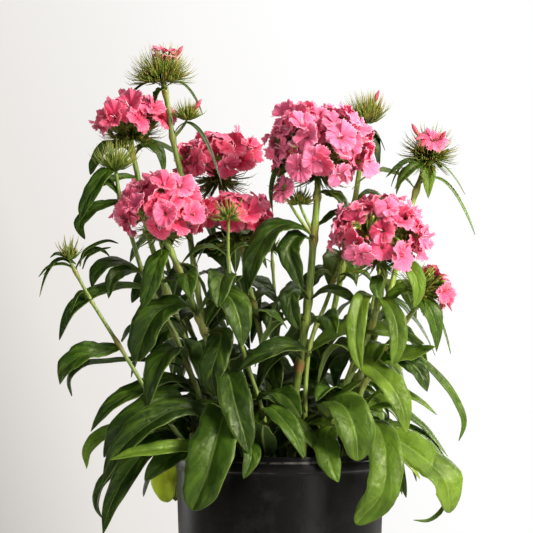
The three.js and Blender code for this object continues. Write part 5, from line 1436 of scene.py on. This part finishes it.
green_parts = {name: [] for name in STEMS}
for name, (stem_name, _, at, squash, lean, core, cup) in HEADS.items():
    draw = random.Random(name)
    axes, base = head_frame(at, squash, lean, core, cup)
    at = np.array(at, float)
    greens = green_parts[stem_name]
    petals = []
    radius, count, round_to, size = FLORETS.get(name, (0, 0, 0, 0))
    for i, polar, bearing in spiral(count, 0, round_to, draw):
        out = pointing(polar, bearing)
        point = at + axes @ (out * (1, 1, squash) * radius)
        normal = unit(axes @ (out * (1, 1, 1 / squash)) + scatter(draw, 0.6 if i else 0.1))
        lift = LAYER * (i % 3 - 1) + draw.uniform(-0.8, 0.8)
        point = point + normal * lift + scatter(draw, 1.5)
        foot = point - normal * min(CALYX_LENGTH, 0.7 * np.linalg.norm(point - base))
        bare = [
            gap for gap in GAPS.get(name, [])
            if out @ unit(np.array(gap[:3])) > math.cos(math.radians(gap[3]))
        ]
        if bare or i and draw.random() < GREEN_FLORETS:
            point = point + normal * (bare[0][4] if bare else 0)
            greens.append(sprout(calyx, foot, point - normal * 4, CALYX_RADIUS, draw, young=0.7))
            finish = 0 if bare else FURLED
            greens.append(sprout(bud_tip, point - normal * 7, point, 1.6, draw, finish=finish))
        else:
            # Painted shade: florets of the lower layers deeper red, those on top paler pink.
            paleness_and_light = 0.22 * (i % 3) + 0.4 * draw.random() + PINKER.get(name, 0)
            petals += floret(point, normal, size * draw.uniform(0.9, 1.15), paleness_and_light, draw)
            greens.append(sprout(calyx, foot, point - normal * 3.5, CALYX_RADIUS, draw, young=0.7))
        for _ in range(2 if draw.random() < STYLED_FLORETS else 0):
            curl = point + normal * draw.uniform(3, 5.5) + scatter(draw, 2.5)
            thread = dict(finish=STYLE, bow=scatter(draw, 1.5))
            greens.append(sprout(needle, point - normal * 3, curl, 0.28, draw, **thread))
        greens.append(sprout(stalk, base, foot, 0.9, draw))
        for _ in range(12 if bare else 3):
            aside = unit(np.cross(normal, scatter(draw, 1))) * draw.uniform(3, 5.5)
            tip = point - normal * draw.uniform(-3 if bare else 1, 6) + aside
            wrapped = dict(bow=aside * 0.35, flat=0.5, pale=0.6 if bare else 0)
            greens.append(sprout(needle, foot, tip, 0.6, draw, **wrapped))

    bracts, reach, high, low, tips = BRACTS[name]
    pale = PALE.get(name, 0)
    thick = BRACT_RADIUS if bracts < CROWDED else FINE_BRACT_RADIUS
    for i, polar, bearing in spiral(bracts, high, low, draw):
        out = axes @ unit(pointing(polar, bearing) + scatter(draw, 0.12))
        start = base + 0.25 * cup * out
        end = base + reach * draw.uniform(0.6 if core else 0.5, 1.06) * out
        bow = 0.12 * reach * (out - axes[:, 2])
        greens.append(sprout(needle, start, end, thick, draw, bow=bow, flat=0.5, pale=pale))
        if i % 6 == 0:
            middle = base + 0.62 * (end - base)
            greens.append(
                sprout(calyx, start, middle, 1.3, draw, bow=bow * 0.6, pale=pale, young=0.6)
            )
    for _, polar, bearing in spiral(tips, TIPS_FROM, TIPS_TO, draw):
        out = axes @ pointing(polar, bearing)
        start, end = base + (reach - 9) * out, base + (reach + 1) * out
        greens.append(sprout(bud_tip, start, end, 1.9, draw, finish=FURLED))

    if petals:
        bloom = add_mesh(name + "_petals", petals, [petal_face, petal_back])
        bloom = join([thicken(bloom, PETAL_THICKNESS)], name + "_petals")
        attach(bloom, "root")
        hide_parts(name)

for name, parts in green_parts.items():
    if parts:
        stem_pieces[name].append(add_mesh(name + "_bracts", parts, GREEN_FINISHES))
    piece = join(stem_pieces[name], name + "_plant")
    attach(piece, "root")
    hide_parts(name)


# ---------------------------------------------------------------- floor and light
# A pale matt floor, a large soft light from the right, weaker ones from the left, low in front,
# above and behind, and a bright, faintly graded surround.
bpy.ops.mesh.primitive_circle_add(
    vertices=96, radius=1.1, fill_type="NGON", location=(0, 0, -0.0005)
)
floor = hold(bpy.context.object, "floor")
paint, _, shader, _ = new_material("matt white board")
feed(shader, {"Base Color": "#D9D6D2", "Roughness": 0.8})
floor.data.materials.append(paint)
floor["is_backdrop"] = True


def add_light(name, at, aim, size, power, colour="#FFFFFF"):
    """A square soft light at a place, aimed at another."""
    data = bpy.data.lights.new(name, "AREA")
    data.size = size
    data.energy = power
    data.color = linear(colour)[:3]
    lamp = bpy.data.objects.new(name, data)
    lamp.location = at
    lamp.rotation_euler = (Vector(aim) - Vector(at)).to_track_quat("-Z", "Y").to_euler()
    bpy.context.collection.objects.link(lamp)


add_light("key", (1.42, -1.12, 1.2), (0, 0, 0.28), 0.8, 95, "#FFFAF0")
add_light("fill", (-1.2, -1.5, 0.9), (-0.03, 0, 0.36), 0.8, 8)
add_light("low", (1.05, -1.5, 0.0), (0, 0, 0.06), 0.35, 3)
add_light("top", (0.2, 0.5, 1.6), (0, 0, 0.3), 0.9, 14)
add_light("far edge", (-1.3, 0.9, 0.3), (-0.05, 0, 0.2), 0.6, 5)
add_light("rim", (1.2, 1.3, 0.8), (0.05, 0, 0.28), 0.8, 20)

# The surround is seen as a pale wall, greyer to the left, and lights the plant only faintly.
world = bpy.data.worlds.new("studio")
bpy.context.scene.world = world
world.use_nodes = True
tree = world.node_tree
tree.nodes.clear()
towards = add(tree, "TexCoord", {}).outputs["Generated"]
rightwards = add(tree, "VectorMath", {0: towards, 1: (1, 0, 0.35)}, operation="DOT_PRODUCT")
graded = add(tree, "MapRange", {"Value": rightwards, "From Min": -0.11, "From Max": 0.03})
greys = [
    (0, "#C6C2BE"), (0.14, "#DAD6D2"), (0.28, "#EAE6E2"),
    (0.45, "#EFECE9"), (0.8, "#FBFAF8"), (1, "#FFFFFF"),
]
wall = add(tree, "ValToRGB", {"Fac": graded}, stops=greys)
ray = add(tree, "LightPath", {}).outputs
faint = add(tree, "MapRange", {"Value": ray["Is Glossy Ray"], "To Min": 0.05, "To Max": 0.08})
strength = add(tree, "Math", {0: ray["Is Camera Ray"], 1: faint}, operation="MAXIMUM")
backdrop = add(tree, "Background", {"Color": wall, "Strength": strength})
add(tree, "OutputWorld", {"Surface": backdrop})
bpy.context.scene.view_settings.view_transform = "Standard"


# ---------------------------------------------------------------- size and finish
boxes = {"cad": cad_box, "visual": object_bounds()}
{key: [list(corner) for corner in box] for key, box in boxes.items()}
